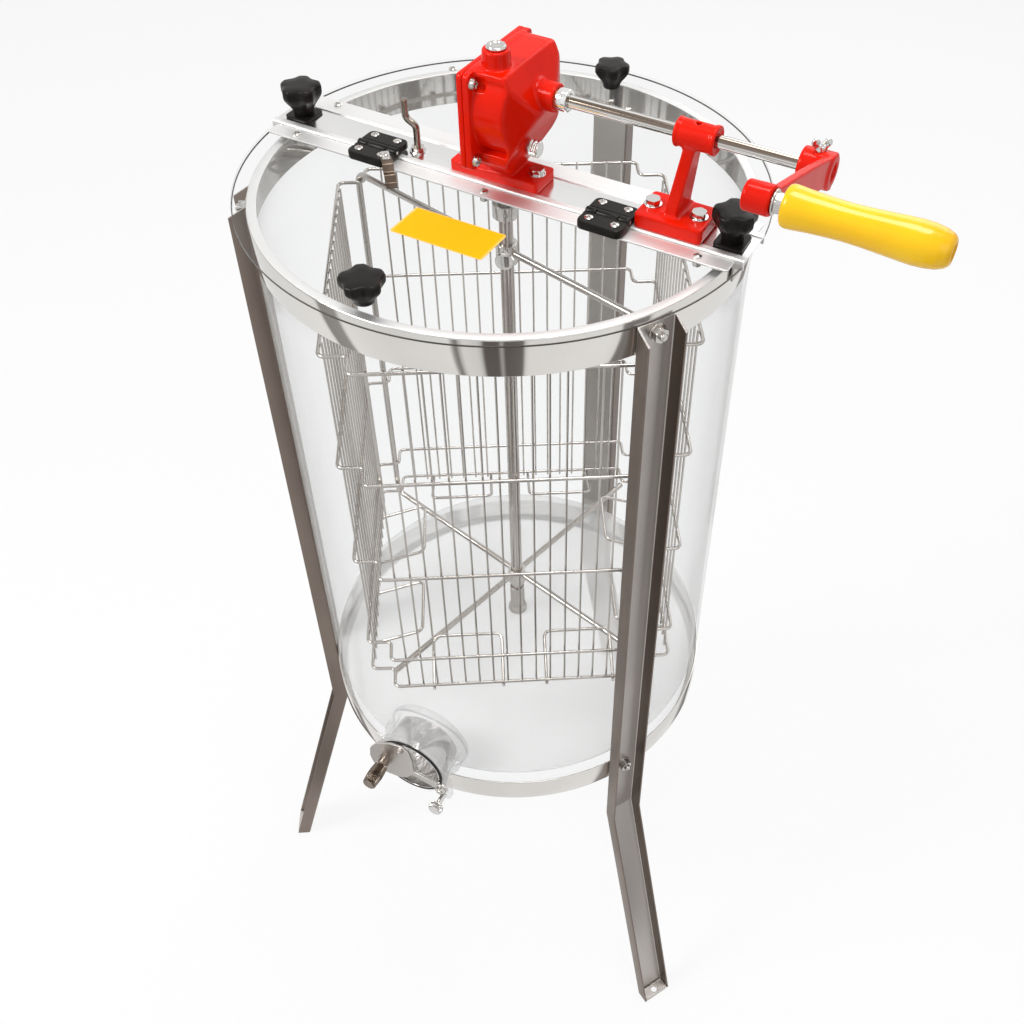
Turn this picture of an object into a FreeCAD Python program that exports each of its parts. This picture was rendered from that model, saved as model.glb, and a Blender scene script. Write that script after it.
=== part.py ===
import FreeCAD, Part
import math
import os

import Sketcher

# Hand-cranked drum spinner: clear drum on three channel legs, bridge with a bevel gearbox, crank,
# two half lids, wire cage on a vertical shaft and a drain gate.
# Frame: +Z up, origin on the floor under the drum's axis, +X along the bridge towards the crank,
# +Y away from the drain gate. Millimetres.

Vector = FreeCAD.Vector
doc = FreeCAD.newDocument("drum_spinner")
sheet = doc.addObject("Spreadsheet::Sheet", "Sizes")

SIZES = [
    ("drum_inner", 246, "drum wall, inner radius"),
    ("drum_wall_gauge", 4, "drum wall, thickness"),
    ("band_outer", 252, "rim and foot band, outer radius"),
    ("band_gauge", 1.7, "band sheet"),
    ("drum_bottom", 462, "lower edge of the foot band above the floor"),
    ("foot_band_top", 498, "upper edge of the foot band"),
    ("rim_band_bottom", 1159, "lower edge of the rim band"),
    ("rim_top", 1199, "top of the rim"),
    ("rim_inner", 242, "inner radius of the rim's inward flange"),
    ("floor_rise", 24, "rise of the drum floor from wall to centre"),
    ("floor_edge_z", 512, "underside of the drum floor at the wall"),
    ("floor_gauge", 4, "drum floor, thickness"),
    ("leg_web", 252.4, "leg channel: radius of the web's inner face"),
    ("leg_width", 43.4, "leg channel: width over the flanges"),
    ("leg_depth", 19.2, "leg channel: depth"),
    ("leg_gauge", 2.2, "leg channel: sheet"),
    ("leg_top", 1191, "leg channel: top end"),
    ("leg_bend_z", 378, "height where the leg kinks outward"),
    ("foot_web", 361, "radius of the web's inner face at the floor"),
    ("foot_hole", 4.5, "foot tab hole, radius"),
    ("foot_hole_circle", 372, "radius of the circle of the foot holes"),
    ("top_bolt_z", 1179, "upper leg bolt height"),
    ("low_bolt_z", 484, "lower leg bolt height"),
    ("bridge_half", 265, "bridge, half length"),
    ("bridge_y", 26, "bridge, half width"),
    ("bridge_web_top", 1208.5, "top of the bridge web"),
    ("bridge_gauge", 2, "bridge sheet"),
    ("hem_top", 1210, "top of the bridge's hems"),
    ("hem_width", 8, "bridge hem, width"),
    ("axis_z", 1303, "crank shaft height"),
    ("shaft_bore", 6.05, "bores that the crank shaft runs in, radius"),
    ("shaft", 6, "crank shaft, radius"),
    ("cage_shaft", 7.3, "cage shaft, radius"),
    ("cage_bore", 7.35, "bores that the cage shaft runs in, radius"),
    ("lid_outer", 265, "half lids, radius"),
    ("lid_bottom", 1201, "underside of the half lids"),
    ("lid_gauge", 5, "half lids, thickness"),
    ("lid_edge", 26.6, "straight edge of the half lids from the middle"),
    ("rail_edge", 44.5, "outer edge of the metal strip on each half lid"),
    ("rail_gauge", 2, "metal strip, thickness"),
    ("hinge_axis_y", -26, "lid hinge pin, y"),
    ("hinge_axis_z", 1214.5, "lid hinge pin, height"),
    ("clamp_x", 243, "clamp knobs, distance from the middle"),
    ("crank_reach", 160, "crank shaft to handle spindle"),
    ("gear_case_half", 47.5, "gear case, half width across the shaft"),
    ("gear_case_right", 31, "gear case, x of the edge where its right side starts to taper"),
    ("flange_half", 54, "gear case flange and cover, half width"),
    ("flange_left", -15, "gear case cover, x of its outer face"),
    ("flange_joint", -9.5, "joint between the cover and the gear case"),
    ("gate_z", 553.5, "outlet tube axis height"),
    ("gate_outer", 53, "outlet tube, outer radius"),
    ("gate_bore", 45, "outlet tube, bore radius"),
    ("tube_start", 238, "outlet tube's inner end, distance from the drum's axis"),
    ("gate_face", 288, "outlet tube face, distance from the drum's axis"),
    ("cage_side", 187.3, "cage wires of a side, distance from the shaft"),
    ("cage_half", 151, "cage side, half length before the corner notch"),
    ("cage_notch", 159, "cage ring, both distances of a notch's inner corner from the shaft"),
    ("cage_top", 1109.7, "top ring of the cage"),
    ("cage_bottom", 618.5, "bottom ring of the cage"),
    ("ring_wire", 2, "cage ring wire, radius"),
    ("screen_wire", 1.25, "screen wire, radius"),
    ("spoke_rod", 3.7, "cage spokes and corner posts, radius"),
    ("hub_outer", 11.5, "cage hubs, outer radius"),
    ("gear_module", 1.7, "bevel gears, module"),
    ("gear_teeth", 24, "bevel gear on the crank shaft, teeth"),
    ("pinion_teeth", 12, "bevel pinion on the cage shaft, teeth"),
]

VALUE = {}
for row, (alias, value, meaning) in enumerate(SIZES, start=1):
    sheet.set("A%d" % row, meaning)
    sheet.set("B%d" % row, str(value))
    sheet.setAlias("B%d" % row, alias)
    VALUE[alias] = float(value)
doc.recompute()


class Size:
    """A length together with the sheet expression that gives it."""

    def __init__(self, value, text):
        self.value = float(value)
        self.text = text

    def join(self, other, sign, value):
        return Size(value, "(%s %s %s)" % (self.text, sign, as_size(other).text))

    def __add__(self, other):
        return self.join(other, "+", self.value + as_size(other).value)

    def __sub__(self, other):
        return self.join(other, "-", self.value - as_size(other).value)

    def __mul__(self, other):
        return self.join(other, "*", self.value * as_size(other).value)

    def __truediv__(self, other):
        return self.join(other, "/", self.value / as_size(other).value)

    def __neg__(self):
        return Size(-self.value, "(0 - %s)" % self.text)


def as_size(number):
    return number if isinstance(number, Size) else Size(number, "%.6f" % float(number))


def sized(alias):
    return Size(VALUE[alias], "Sizes." + alias)


def bind(thing, name, size):
    """Sets a property, by the sheet's expression where the size comes from the sheet."""
    size = as_size(size)
    if "Sizes." in size.text:
        thing.setExpression(name, size.text)
    else:
        setattr(thing, name, size.value)


pieces = []


def piece(thing, label):
    """Marks an object as one sub-part and gives it its name."""
    thing.Label = label
    pieces.append(thing)
    return thing


def place(thing, position, turn=None):
    """Puts an object at a position and turns it; turn is (axis, degrees)."""
    values = [as_size(part) for part in position]
    rotation = FreeCAD.Rotation()
    if turn is not None:
        rotation = FreeCAD.Rotation(Vector(*turn[0]), turn[1])
    thing.Placement = FreeCAD.Placement(Vector(*[part.value for part in values]), rotation)
    for axis, part in zip("xyz", values):
        if "Sizes." in part.text:
            thing.setExpression("Placement.Base." + axis, part.text)
    return thing


ALONG_X = ((0, 1, 0), 90)
ALONG_Y = ((1, 0, 0), -90)


def cylinder(name, radius, height, position=(0, 0, 0), turn=None):
    thing = doc.addObject("Part::Cylinder", name)
    bind(thing, "Radius", radius)
    bind(thing, "Height", height)
    return place(thing, position, turn)


def box(name, low, high, turn=None):
    """A box between two opposite corners."""
    thing = doc.addObject("Part::Box", name)
    for side, start, end in zip(("Length", "Width", "Height"), low, high):
        bind(thing, side, as_size(end) - start)
    return place(thing, low, turn)


def prism(name, sides, radius, height, position=(0, 0, 0), turn=None):
    thing = doc.addObject("Part::Prism", name)
    thing.Polygon = sides
    bind(thing, "Circumradius", radius)
    bind(thing, "Height", height)
    return place(thing, position, turn)


def fuse(name, shapes):
    thing = doc.addObject("Part::MultiFuse", name)
    thing.Shapes = shapes
    thing.Refine = True
    return thing


def cut(name, base, tools):
    """Cuts one or more tools from a base."""
    thing = doc.addObject("Part::Cut", name)
    thing.Base = base
    thing.Tool = tools[0] if len(tools) == 1 else fuse(name + "_tools", tools)
    thing.Refine = True
    return thing


def new_body(name):
    return doc.addObject("PartDesign::Body", name)


def sketch_on(body, role, name, offset=0):
    """A sketch on one of the body's own origin planes, moved along the plane's normal."""
    plane = [item for item in body.Origin.OriginFeatures if item.Role == role][0]
    sketch = body.newObject("Sketcher::SketchObject", name)
    sketch.AttachmentSupport = [(plane, "")]
    sketch.MapMode = "FlatFace"
    offset = as_size(offset)
    sketch.AttachmentOffset = FreeCAD.Placement(Vector(0, 0, offset.value), FreeCAD.Rotation())
    if "Sizes." in offset.text:
        sketch.setExpression("AttachmentOffset.Base.z", offset.text)
    return sketch


def pin_point(sketch, geometry, end, coordinate, size):
    """Holds one coordinate of a sketch point at a size measured from the sketch's origin."""
    size = as_size(size)
    across = 0 if coordinate == "DistanceX" else 1
    if abs(size.value) < 1e-9:
        sketch.addConstraint(Sketcher.Constraint("PointOnObject", geometry, end, (-2, -1)[across]))
        return
    index = sketch.addConstraint(Sketcher.Constraint(coordinate, -1, 1, geometry, end, size.value))
    if "Sizes." in size.text:
        sketch.setExpression("Constraints[%d]" % index, size.text)


def outline(sketch, points):
    """A closed outline of straight lines through points given as sizes."""
    sizes = [(as_size(across), as_size(up)) for across, up in points]
    places = [Vector(across.value, up.value, 0) for across, up in sizes]
    first = sketch.GeometryCount
    count = len(places)
    for index in range(count):
        sketch.addGeometry(Part.LineSegment(places[index], places[(index + 1) % count]), False)
    for index in range(count):
        after = first + (index + 1) % count
        sketch.addConstraint(Sketcher.Constraint("Coincident", first + index, 2, after, 1))
    for index, (across, up) in enumerate(sizes):
        pin_point(sketch, first + index, 1, "DistanceX", across)
        pin_point(sketch, first + index, 1, "DistanceY", up)
    return sketch


def ring(sketch, across, up, radius):
    """A circle held by its centre and radius."""
    across, up, radius = as_size(across), as_size(up), as_size(radius)
    centre = Vector(across.value, up.value, 0)
    index = sketch.addGeometry(Part.Circle(centre, Vector(0, 0, 1), radius.value), False)
    pin_point(sketch, index, 3, "DistanceX", across)
    pin_point(sketch, index, 3, "DistanceY", up)
    held = sketch.addConstraint(Sketcher.Constraint("Radius", index, radius.value))
    if "Sizes." in radius.text:
        sketch.setExpression("Constraints[%d]" % held, radius.text)
    return sketch


def pad(body, sketch, length, both=False):
    feature = body.newObject("PartDesign::Pad", sketch.Name + "_pad")
    feature.Profile = sketch
    bind(feature, "Length", length)
    feature.Midplane = both
    sketch.Visibility = False
    return feature


def pocket(body, sketch, length, both=False, reverse=False):
    feature = body.newObject("PartDesign::Pocket", sketch.Name + "_pocket")
    feature.Profile = sketch
    bind(feature, "Length", length)
    feature.Midplane = both
    feature.Reversed = reverse
    return feature


def turned(name, points):
    """A body turned about the Z axis from an outline of (radius, height)."""
    body = new_body(name)
    sketch = outline(sketch_on(body, "XZ_Plane", name + "_profile"), points)
    feature = body.newObject("PartDesign::Revolution", name + "_turn")
    feature.Profile = sketch
    feature.ReferenceAxis = (sketch, ["V_Axis"])
    feature.Angle = 360
    return body


def copies(label, source, placements):
    """Several equal solids as one sub-part, each a copy of a modelled one."""
    doc.recompute()
    shapes = []
    for placement in placements:
        shape = source.Shape.copy()
        shape.Placement = placement.multiply(shape.Placement)
        shapes.append(shape)
    thing = doc.addObject("Part::Feature", label)
    thing.Shape = Part.makeCompound(shapes)
    return piece(thing, label)


def at(x, y, z, turn=None):
    rotation = FreeCAD.Rotation()
    if turn is not None:
        rotation = FreeCAD.Rotation(Vector(*turn[0]), turn[1])
    return FreeCAD.Placement(Vector(x, y, z), rotation)


def about_axis(degrees, placement=None):
    """A turn about the drum's axis, applied after another placement."""
    turn = FreeCAD.Placement(Vector(0, 0, 0), FreeCAD.Rotation(Vector(0, 0, 1), degrees))
    return turn if placement is None else turn.multiply(placement)


def bent_path(points, bend):
    """The points of a rod's middle line, each bend cut by a short step across it."""
    path = [points[0]]
    for before, here, after in zip(points, points[1:], points[2:]):
        path.append(here + (before - here).normalize() * bend)
        path.append(here + (after - here).normalize() * bend)
    return path + [points[-1]]


def rod_sections(path, radius, closed):
    """Six-sided sections across a flat path, mitred where two runs meet."""
    count = len(path)
    normal = (path[1] - path[0]).cross(path[2] - path[1]).normalize()
    sections = []
    for index, here in enumerate(path):
        back = (here - path[index - 1]).normalize()
        ahead = (path[(index + 1) % count] - here).normalize()
        if not closed and index == 0:
            back = ahead
        if not closed and index == count - 1:
            ahead = back
        along = (back + ahead).normalize()
        across = along.cross(normal).normalize() / along.dot(ahead)
        section = []
        for corner in range(6):
            angle = math.radians(60 * corner)
            out = across * (radius * math.cos(angle)) + normal * (radius * math.sin(angle))
            section.append(here + out)
        sections.append(section)
    return sections


def flat_solid(sections, ends):
    """A solid with flat faces between neighbouring sections, and over the two end sections."""
    faces = []
    for one, two in zip(sections, sections[1:]):
        for corner, here in enumerate(one):
            after = (corner + 1) % len(one)
            loop = [here, one[after], two[after], two[corner], here]
            faces.append(Part.Face(Part.makePolygon(loop)))
    for section in ends:
        faces.append(Part.Face(Part.makePolygon(section + [section[0]])))
    solid = Part.Solid(Part.Shell(faces))
    if solid.Volume < 0:
        solid.reverse()
    return solid


def wire_rod(points, bend, radius):
    """One bent rod with two ends."""
    sections = rod_sections(bent_path(points, bend), radius, False)
    return flat_solid(sections, (sections[0], sections[-1]))


def wire_runs(points, radius):
    """The straight runs of a closed ring, each its own solid from mitre to mitre."""
    sections = rod_sections(points, radius, True)
    runs = []
    for index, section in enumerate(sections):
        after = sections[(index + 1) % len(sections)]
        runs.append(flat_solid([section, after], (section, after)))
    return runs


# ------------------------------------------------------------------ drum

LEG_ANGLES = (-28, 92, 212)
LEG_NAMES = ("leg_right", "leg_back", "leg_left")
GATE_TURN = 3


def make_drum():
    inner = sized("drum_inner")
    outer = inner + sized("drum_wall_gauge")
    low = sized("drum_bottom") + 2.2
    high = sized("rim_top") - 2.2
    body = turned("wall", [(inner, low), (outer, low), (outer, high), (inner, high)])
    hole = ring(sketch_on(body, "XZ_Plane", "outlet_hole"), 0, sized("gate_z"), sized("gate_outer") + 0.3)
    pocket(body, hole, 300, reverse=True)
    doc.recompute()
    whole = math.pi * (outer.value ** 2 - inner.value ** 2) * (high.value - low.value)
    if body.Shape.Volume > whole - 20000:
        raise ValueError("the outlet hole was not cut")
    place(body, (0, 0, 0), ((0, 0, 1), GATE_TURN))
    piece(body, "drum_wall")

    edge = sized("floor_edge_z")
    top = edge + sized("floor_rise")
    gauge = sized("floor_gauge")
    rim = inner - 0.3
    floor_points = [(0, top), (24, top), (rim, edge), (rim, edge + gauge),
                    (24, top + gauge), (0, top + gauge)]
    dish = turned("floor_dish", floor_points)
    tube_end = sized("tube_start") - 0.3
    gap = sketch_on(dish, "XY_Plane", "floor_gap", edge - 10)
    outline(gap, [(-40, -tube_end), (-40, -inner - 4), (40, -inner - 4), (40, -tube_end)])
    pocket(dish, gap, 60, reverse=True)
    place(dish, (0, 0, 0), ((0, 0, 1), GATE_TURN))
    piece(dish, "drum_floor")

    outer = sized("band_outer")
    gauge = sized("band_gauge")
    top = sized("rim_top")
    low = sized("rim_band_bottom")
    hook = sized("rim_inner")
    band = [(outer - gauge, low), (outer, low), (outer, top), (hook, top)]
    band += [(hook, top - gauge), (outer - gauge, top - gauge)]
    piece(turned("rim_band", band), "top_band")

    low = sized("drum_bottom")
    top = sized("foot_band_top")
    band = [(outer - gauge, top), (outer, top), (outer, low), (hook, low)]
    band += [(hook, low + gauge), (outer - gauge, low + gauge)]
    piece(turned("foot_band", band), "bottom_band")

    bearing = turned("bearing_profile", [
        (sized("cage_bore"), 545), (sized("cage_bore"), 594), (12.5, 594), (12.5, 559), (17, 559), (17, 541),
        (0, 541), (0, 545)])
    piece(bearing, "floor_bearing")


def leg_side(web, reach, top):
    """Outline of a leg in (radius, height) between two distances from the web's inner face."""
    kink = sized("leg_bend_z")
    foot = sized("foot_web")
    upper = sized("leg_web")
    return [(upper + web, top), (upper + web, kink), (foot + web, 0), (foot + reach, 0),
            (upper + reach, kink), (upper + reach, top)]


def make_legs():
    gauge = sized("leg_gauge")
    depth = sized("leg_depth")
    top = sized("leg_top")
    for name, angle in zip(LEG_NAMES, LEG_ANGLES):
        body = new_body(name + "_body")
        sides = leg_side(0, depth, top)
        sides[-1:] = [(sized("leg_web") + depth, top - 11), (sized("leg_web") + gauge, top)]
        side = outline(sketch_on(body, "XZ_Plane", name + "_side"), sides)
        pad(body, side, sized("leg_width"), both=True)
        hollow = leg_side(gauge, depth + 5, top + 5)
        inside = outline(sketch_on(body, "XZ_Plane", name + "_hollow"), hollow)
        pocket(body, inside, sized("leg_width") - gauge * 2, both=True)
        for height in ("top_bolt_z", "low_bolt_z"):
            mark = sketch_on(body, "YZ_Plane", name + "_" + height, sized("leg_web") - 5)
            ring(mark, 0, sized(height), 4.2)
            pocket(body, mark, 12, reverse=True)
        tab_plane = sketch_on(body, "XY_Plane", name + "_tab")
        half = (sized("leg_width") - gauge * 2) / 2 + 0.5
        tab_in = sized("foot_web") + 0.3
        tab_out = sized("foot_web") + depth - 1
        outline(tab_plane, [(tab_in, -half), (tab_out, -half), (tab_out, half), (tab_in, half)])
        ring(tab_plane, sized("foot_hole_circle"), 0, sized("foot_hole"))
        pad(body, tab_plane, 3)
        place(body, (0, 0, 0), ((0, 0, 1), angle))
        piece(body, name)

    shank = prism("leg_bolt_shank", 12, 4, 11.5, (0.05, 0, 0), ALONG_X)
    nut = prism("leg_bolt_nut", 6, 7.2, 6, (2.4, 0, 0), ALONG_X)
    master = fuse("leg_bolt", [shank, nut])
    radius = VALUE["leg_web"]
    placements = []
    for angle in LEG_ANGLES:
        for height in ("top_bolt_z", "low_bolt_z"):
            placements.append(about_axis(angle, at(radius, 0, VALUE[height])))
    copies("leg_bolts", master, placements)


# ------------------------------------------------------------------ bridge

def many_sided(radii, heights, sides):
    """A solid about Z with flat faces: one regular section for each radius and height."""
    sections = []
    for radius, height in zip(radii, heights):
        section = []
        for corner in range(sides):
            angle = 2 * math.pi * corner / sides
            section.append(Vector(radius * math.cos(angle), radius * math.sin(angle), height))
        sections.append(section)
    return flat_solid(sections, (sections[0], sections[-1]))


def star_knob(name, radius, height, neck, stud, stud_length):
    """A five-lobed knob: scalloped head on a tapered neck, with its stud pointing down."""
    head_low = height * 0.45
    sections = []
    for scale, level in ((0.86, head_low), (1, head_low + 3), (1, height - 3), (0.8, height)):
        section = []
        for corner in range(40):
            angle = 2 * math.pi * corner / 40
            out = scale * radius * (0.87 + 0.13 * math.cos(5 * angle))
            section.append(Vector(out * math.cos(angle), out * math.sin(angle), level))
        sections.append(section)
    head = flat_solid(sections, (sections[0], sections[-1]))
    low = many_sided((neck, neck, radius * 0.6), (0, 4, head_low + 1), 20)
    screw = many_sided((stud, stud), (-stud_length, 4), 12)
    thing = doc.addObject("Part::Feature", name)
    thing.Shape = head.fuse(low).fuse(screw)
    return thing


def make_bridge():
    half = sized("bridge_y")
    gauge = sized("bridge_gauge")
    web = sized("bridge_web_top")
    top = sized("hem_top")
    hem = sized("hem_width")
    foot = sized("rim_top") + 0.3
    body = new_body("bridge_body")
    right = [(half - gauge, web - gauge), (half - gauge, foot), (half, foot),
             (half, top), (half - hem, top), (half - hem, web)]
    left = [(-across, up) for across, up in reversed(right)]
    section = outline(sketch_on(body, "YZ_Plane", "bridge_section"), right + left)
    pad(body, section, sized("bridge_half") * 2, both=True)
    holes = sketch_on(body, "XY_Plane", "bridge_holes", sized("bridge_web_top") + 5)
    ring(holes, 0, 0, 9)
    for across in (-sized("clamp_x"), sized("clamp_x")):
        ring(holes, across, 0, 4.2)
    ring(holes, -99, -3, 3.8)
    pocket(body, holes, 12)
    piece(body, "bridge")

    under_web = sized("bridge_web_top") - gauge - 0.2
    outer = sized("band_outer") + 2.6
    plate = box("clip_plate", (outer - 2, -20, 1181), (outer, 20, under_web))
    tab = box("clip_tab", (232, -20, under_web - 2), (outer, 20, under_web))
    fused = fuse("clip_blank", [plate, tab])
    hole = cylinder("clip_hole", 4.3, 10, (sized("clamp_x"), 0, 1200))
    clip = cut("clip", fused, [hole])
    copies("bridge_end_clips", clip, [at(0, 0, 0), about_axis(180)])

    plate = box("pad_blank", (-16.5, -16.5, 0), (16.5, 16.5, 3))
    hole = cylinder("pad_hole", 4.3, 10, (0, 0, -2))
    pad_piece = cut("knob_pad", plate, [hole])
    spots = [at(sign * VALUE["clamp_x"], 0, VALUE["bridge_web_top"]) for sign in (-1, 1)]
    copies("clamp_pads", pad_piece, spots)

    for name, side in (("clamp_knob_left", -1), ("clamp_knob_right", 1)):
        knob = star_knob(name + "_shape", 21.5, 31, 10.5, 4, 12)
        place(knob, (sized("clamp_x") * side, 0, sized("bridge_web_top") + 3.3))
        piece(knob, name)

    shank = cylinder("rod_nut_hole", 3.6, 12, (0, 0, -2))
    nut = cut("rod_nut_blank", prism("rod_nut_hex", 6, 7.2, 5, (0, 0, 0)), [shank])
    place(nut, (-99, -3, sized("bridge_web_top")))
    piece(nut, "stay_rod_nut")
    rod = doc.addObject("Part::Feature", "stay_rod")
    web_top = VALUE["bridge_web_top"]
    rod_points = [Vector(-99, -3, web_top - 6), Vector(-99, -3, web_top + 27),
                  Vector(-111, -3, web_top + 33), Vector(-111, -3, web_top + 53)]
    rod.Shape = wire_rod(rod_points, 5, 3.5)
    piece(rod, "stay_rod")


# ------------------------------------------------------------------ gearbox

def flange_outline(sketch):
    """The outline that the cover and the case's flange share."""
    axis = sized("axis_z")
    half = sized("flange_half")
    corners = [(half, axis - 50), (half, axis + 22), (half - 7, axis + 29)]
    corners += [(-across, up) for across, up in reversed(corners)]
    corners += [(-half + 7, axis - 57), (half - 7, axis - 57)]
    return outline(sketch, corners)


def make_gearbox():
    web = sized("bridge_web_top")
    axis = sized("axis_z")
    half = sized("gear_case_half")
    joint = sized("flange_joint")
    right = sized("gear_case_right")
    body = new_body("housing")
    foot = sketch_on(body, "XY_Plane", "housing_foot", web)
    outline(foot, [(-50, -17.8), (39, -17.8), (46, -11), (46, 11), (39, 17.8), (-50, 17.8)])
    pad(body, foot, 11.5)
    case = sketch_on(body, "YZ_Plane", "housing_case", joint + 0.1)
    side = [(17.8, web + 10), (17.8, web + 14), (half - 2, axis - 57), (half, axis - 40), (half, axis + 14),
            (half - 4, axis + 31)]
    outline(case, side + [(-across, up) for across, up in reversed(side)])
    pad(body, case, right - joint - 0.1)
    under = sketch_on(body, "XZ_Plane", "housing_under")
    outline(under, [(18, web + 11.5), (60, web + 11.5), (60, axis - 56), (right, axis - 56)])
    pocket(body, under, 200, both=True)
    foot_top = sketch_on(body, "XY_Plane", "housing_foot_top", web + 2)
    outline(foot_top, [(0, -17.8), (39, -17.8), (46, -11), (46, 11), (39, 17.8), (0, 17.8)])
    pad(body, foot_top, 9.5)
    taper = sketch_on(body, "YZ_Plane", "housing_taper", right - 0.1)
    wide = half - 1
    outline(taper, [(wide, axis - 53), (wide, axis + 28), (-wide, axis + 28), (-wide, axis - 53)])
    sloped = pad(body, taper, 12)
    sloped.TaperAngle = -66
    boss = ring(sketch_on(body, "YZ_Plane", "shaft_boss", 30), 0, axis, 14)
    pad(body, boss, 26)
    plug_boss = ring(sketch_on(body, "XY_Plane", "plug_boss", axis + 30), 12, -27, 14.5)
    pad(body, plug_boss, 21)
    flange = flange_outline(sketch_on(body, "YZ_Plane", "housing_flange", joint + 0.1))
    pad(body, flange, 6.4)
    side_boss = ring(sketch_on(body, "YZ_Plane", "side_boss", 24), -25, axis - 41, 8)
    pad(body, side_boss, 18)
    chamber = ring(sketch_on(body, "YZ_Plane", "gear_chamber", 27), 0, axis - 10, 34)
    pocket(body, chamber, 60)
    bore = ring(sketch_on(body, "YZ_Plane", "bush_bore", 60), 0, axis, 9)
    pocket(body, bore, 60)
    down = ring(sketch_on(body, "XY_Plane", "cage_shaft_bore", axis - 30), 0, 0, 8.3)
    pocket(body, down, 80)
    fill = ring(sketch_on(body, "XY_Plane", "plug_bore", axis + 60), 12, -27, 8)
    pocket(body, fill, 60)
    for name, across in (("foot_hole_left", -41), ("foot_hole_right", 37)):
        hole = ring(sketch_on(body, "XY_Plane", name, web + 12), across, 0, 4.2)
        pocket(body, hole, 14)
    piece(body, "gearbox_housing")

    outer = sized("flange_left")
    body = new_body("cover")
    pad(body, flange_outline(sketch_on(body, "YZ_Plane", "cover_plate", outer)), joint - outer)
    hollow = ring(sketch_on(body, "YZ_Plane", "cover_hollow", joint), 0, axis - 10, 33)
    pocket(body, hollow, 3)
    seat = ring(sketch_on(body, "YZ_Plane", "cover_seat", outer), 0, axis, 10)
    pad(body, seat, 13)
    blind = ring(sketch_on(body, "YZ_Plane", "cover_bore", 0), 0, axis, sized("shaft_bore"))
    pocket(body, blind, 12)
    piece(body, "gearbox_cover")

    bush = cut("gearbox_bush_blank", cylinder("bush_outer", 8.95, 22, (34, 0, axis), ALONG_X),
               [cylinder("bush_bore_tool", sized("shaft_bore"), 30, (30, 0, axis), ALONG_X)])
    piece(bush, "gearbox_bush")

    screw = prism("cover_screw", 12, 3.2, 5, (0, 0, 0), ALONG_X)
    spots = [at(-2.9, side * 50.8, z) for z in (1320, 1254) for side in (-1, 1)]
    copies("cover_screws", screw, spots)

    head = prism("base_bolt_head", 6, 8, 5, (0, 0, 0))
    shank = prism("base_bolt_shank", 12, 4, 12, (0, 0, -11))
    bolt = fuse("base_bolt", [head, shank])
    top = VALUE["bridge_web_top"]
    spots = [at(x, 0, top + up) for x, up in ((-41, 11.5), (37, 11.5), (161, 15.5), (208, 15.5))]
    copies("bridge_bolts", bolt, spots)

    plug = fuse("plug_blank", [cylinder("plug_head", 10.5, 4, (12, -27, axis + 51)),
                               cylinder("plug_shank", 7.9, 12, (12, -27, axis + 41))])
    piece(plug, "oil_plug")

    knob = fuse("side_screw_blank", [cylinder("side_screw_head", 8, 10, (45, -25, axis - 41), ALONG_X),
                                     cylinder("side_screw_shank", 3.5, 4, (42, -25, axis - 41), ALONG_X)])
    piece(knob, "gearbox_side_screw")


def make_stand():
    web = sized("hem_top")
    axis = sized("axis_z")
    foot = box("stand_foot", (152, -23, web), (220, 23, web + 14))
    low = [(172, -19), (182, -19), (182, -5), (197, -5), (197, 5), (182, 5), (182, 19), (172, 19)]
    high = [(190, -11), (197, -11), (197, -4), (210, -4), (210, 4), (197, 4), (197, 11), (190, 11)]
    sections = []
    for corners, height in ((low, VALUE["hem_top"] + 13), (high, VALUE["axis_z"] - 8)):
        sections.append([Vector(x, y, height) for x, y in corners])
    post = doc.addObject("Part::Feature", "stand_post")
    post.Shape = flat_solid(sections, sections)
    boss = cylinder("stand_boss", 15, 39, (180, 0, axis), ALONG_X)
    holes = [cylinder("stand_bore", sized("shaft_bore"), 60, (170, 0, axis), ALONG_X),
             cylinder("stand_oil_hole", 2, 12, (199.5, 0, axis + 6))]
    for name, across in (("stand_hole_left", 161), ("stand_hole_right", 208)):
        holes.append(cylinder(name, 4.2, 18, (across, 0, web - 2)))
    piece(cut("stand_blank", fuse("stand_solid", [foot, post, boss]), holes), "bearing_stand")


# ------------------------------------------------------------------ bevel gears

def bevel_gear(own_teeth, mate_teeth, face, bore, hub_radius, hub_length):
    """A straight bevel gear about +Z with its cone apex at the origin and its teeth facing it.

    Its flanks lie on lines through the apex, between a flat outline and a smaller copy of it.
    """
    module = VALUE["gear_module"]
    pitch = module * own_teeth / 2
    depth = module * mate_teeth / 2
    cone_angle = math.atan2(pitch, depth)
    reach = math.hypot(pitch, depth)
    root = cone_angle - math.atan(1.25 * module / reach)
    tip = cone_angle + math.atan(0.8 * module / reach)
    share = 2 * math.pi / own_teeth
    large_height = depth * 0.92
    small_scale = 1 - face / reach
    large = []
    for tooth in range(own_teeth):
        middle = tooth * share
        for slope, shift in ((root, -0.31), (tip, -0.11), (tip, 0.11), (root, 0.31)):
            radius = large_height * math.tan(slope)
            angle = middle + shift * share
            large.append(Vector(radius * math.cos(angle), radius * math.sin(angle), large_height))
    small = [corner * small_scale for corner in large]
    teeth = flat_solid([small, large], (small, large))
    hub = Part.makeCylinder(hub_radius, hub_length, Vector(0, 0, large_height))
    hole = Part.makeCylinder(bore, 100, Vector(0, 0, -10))
    return teeth.fuse(hub).cut(hole)


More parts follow.
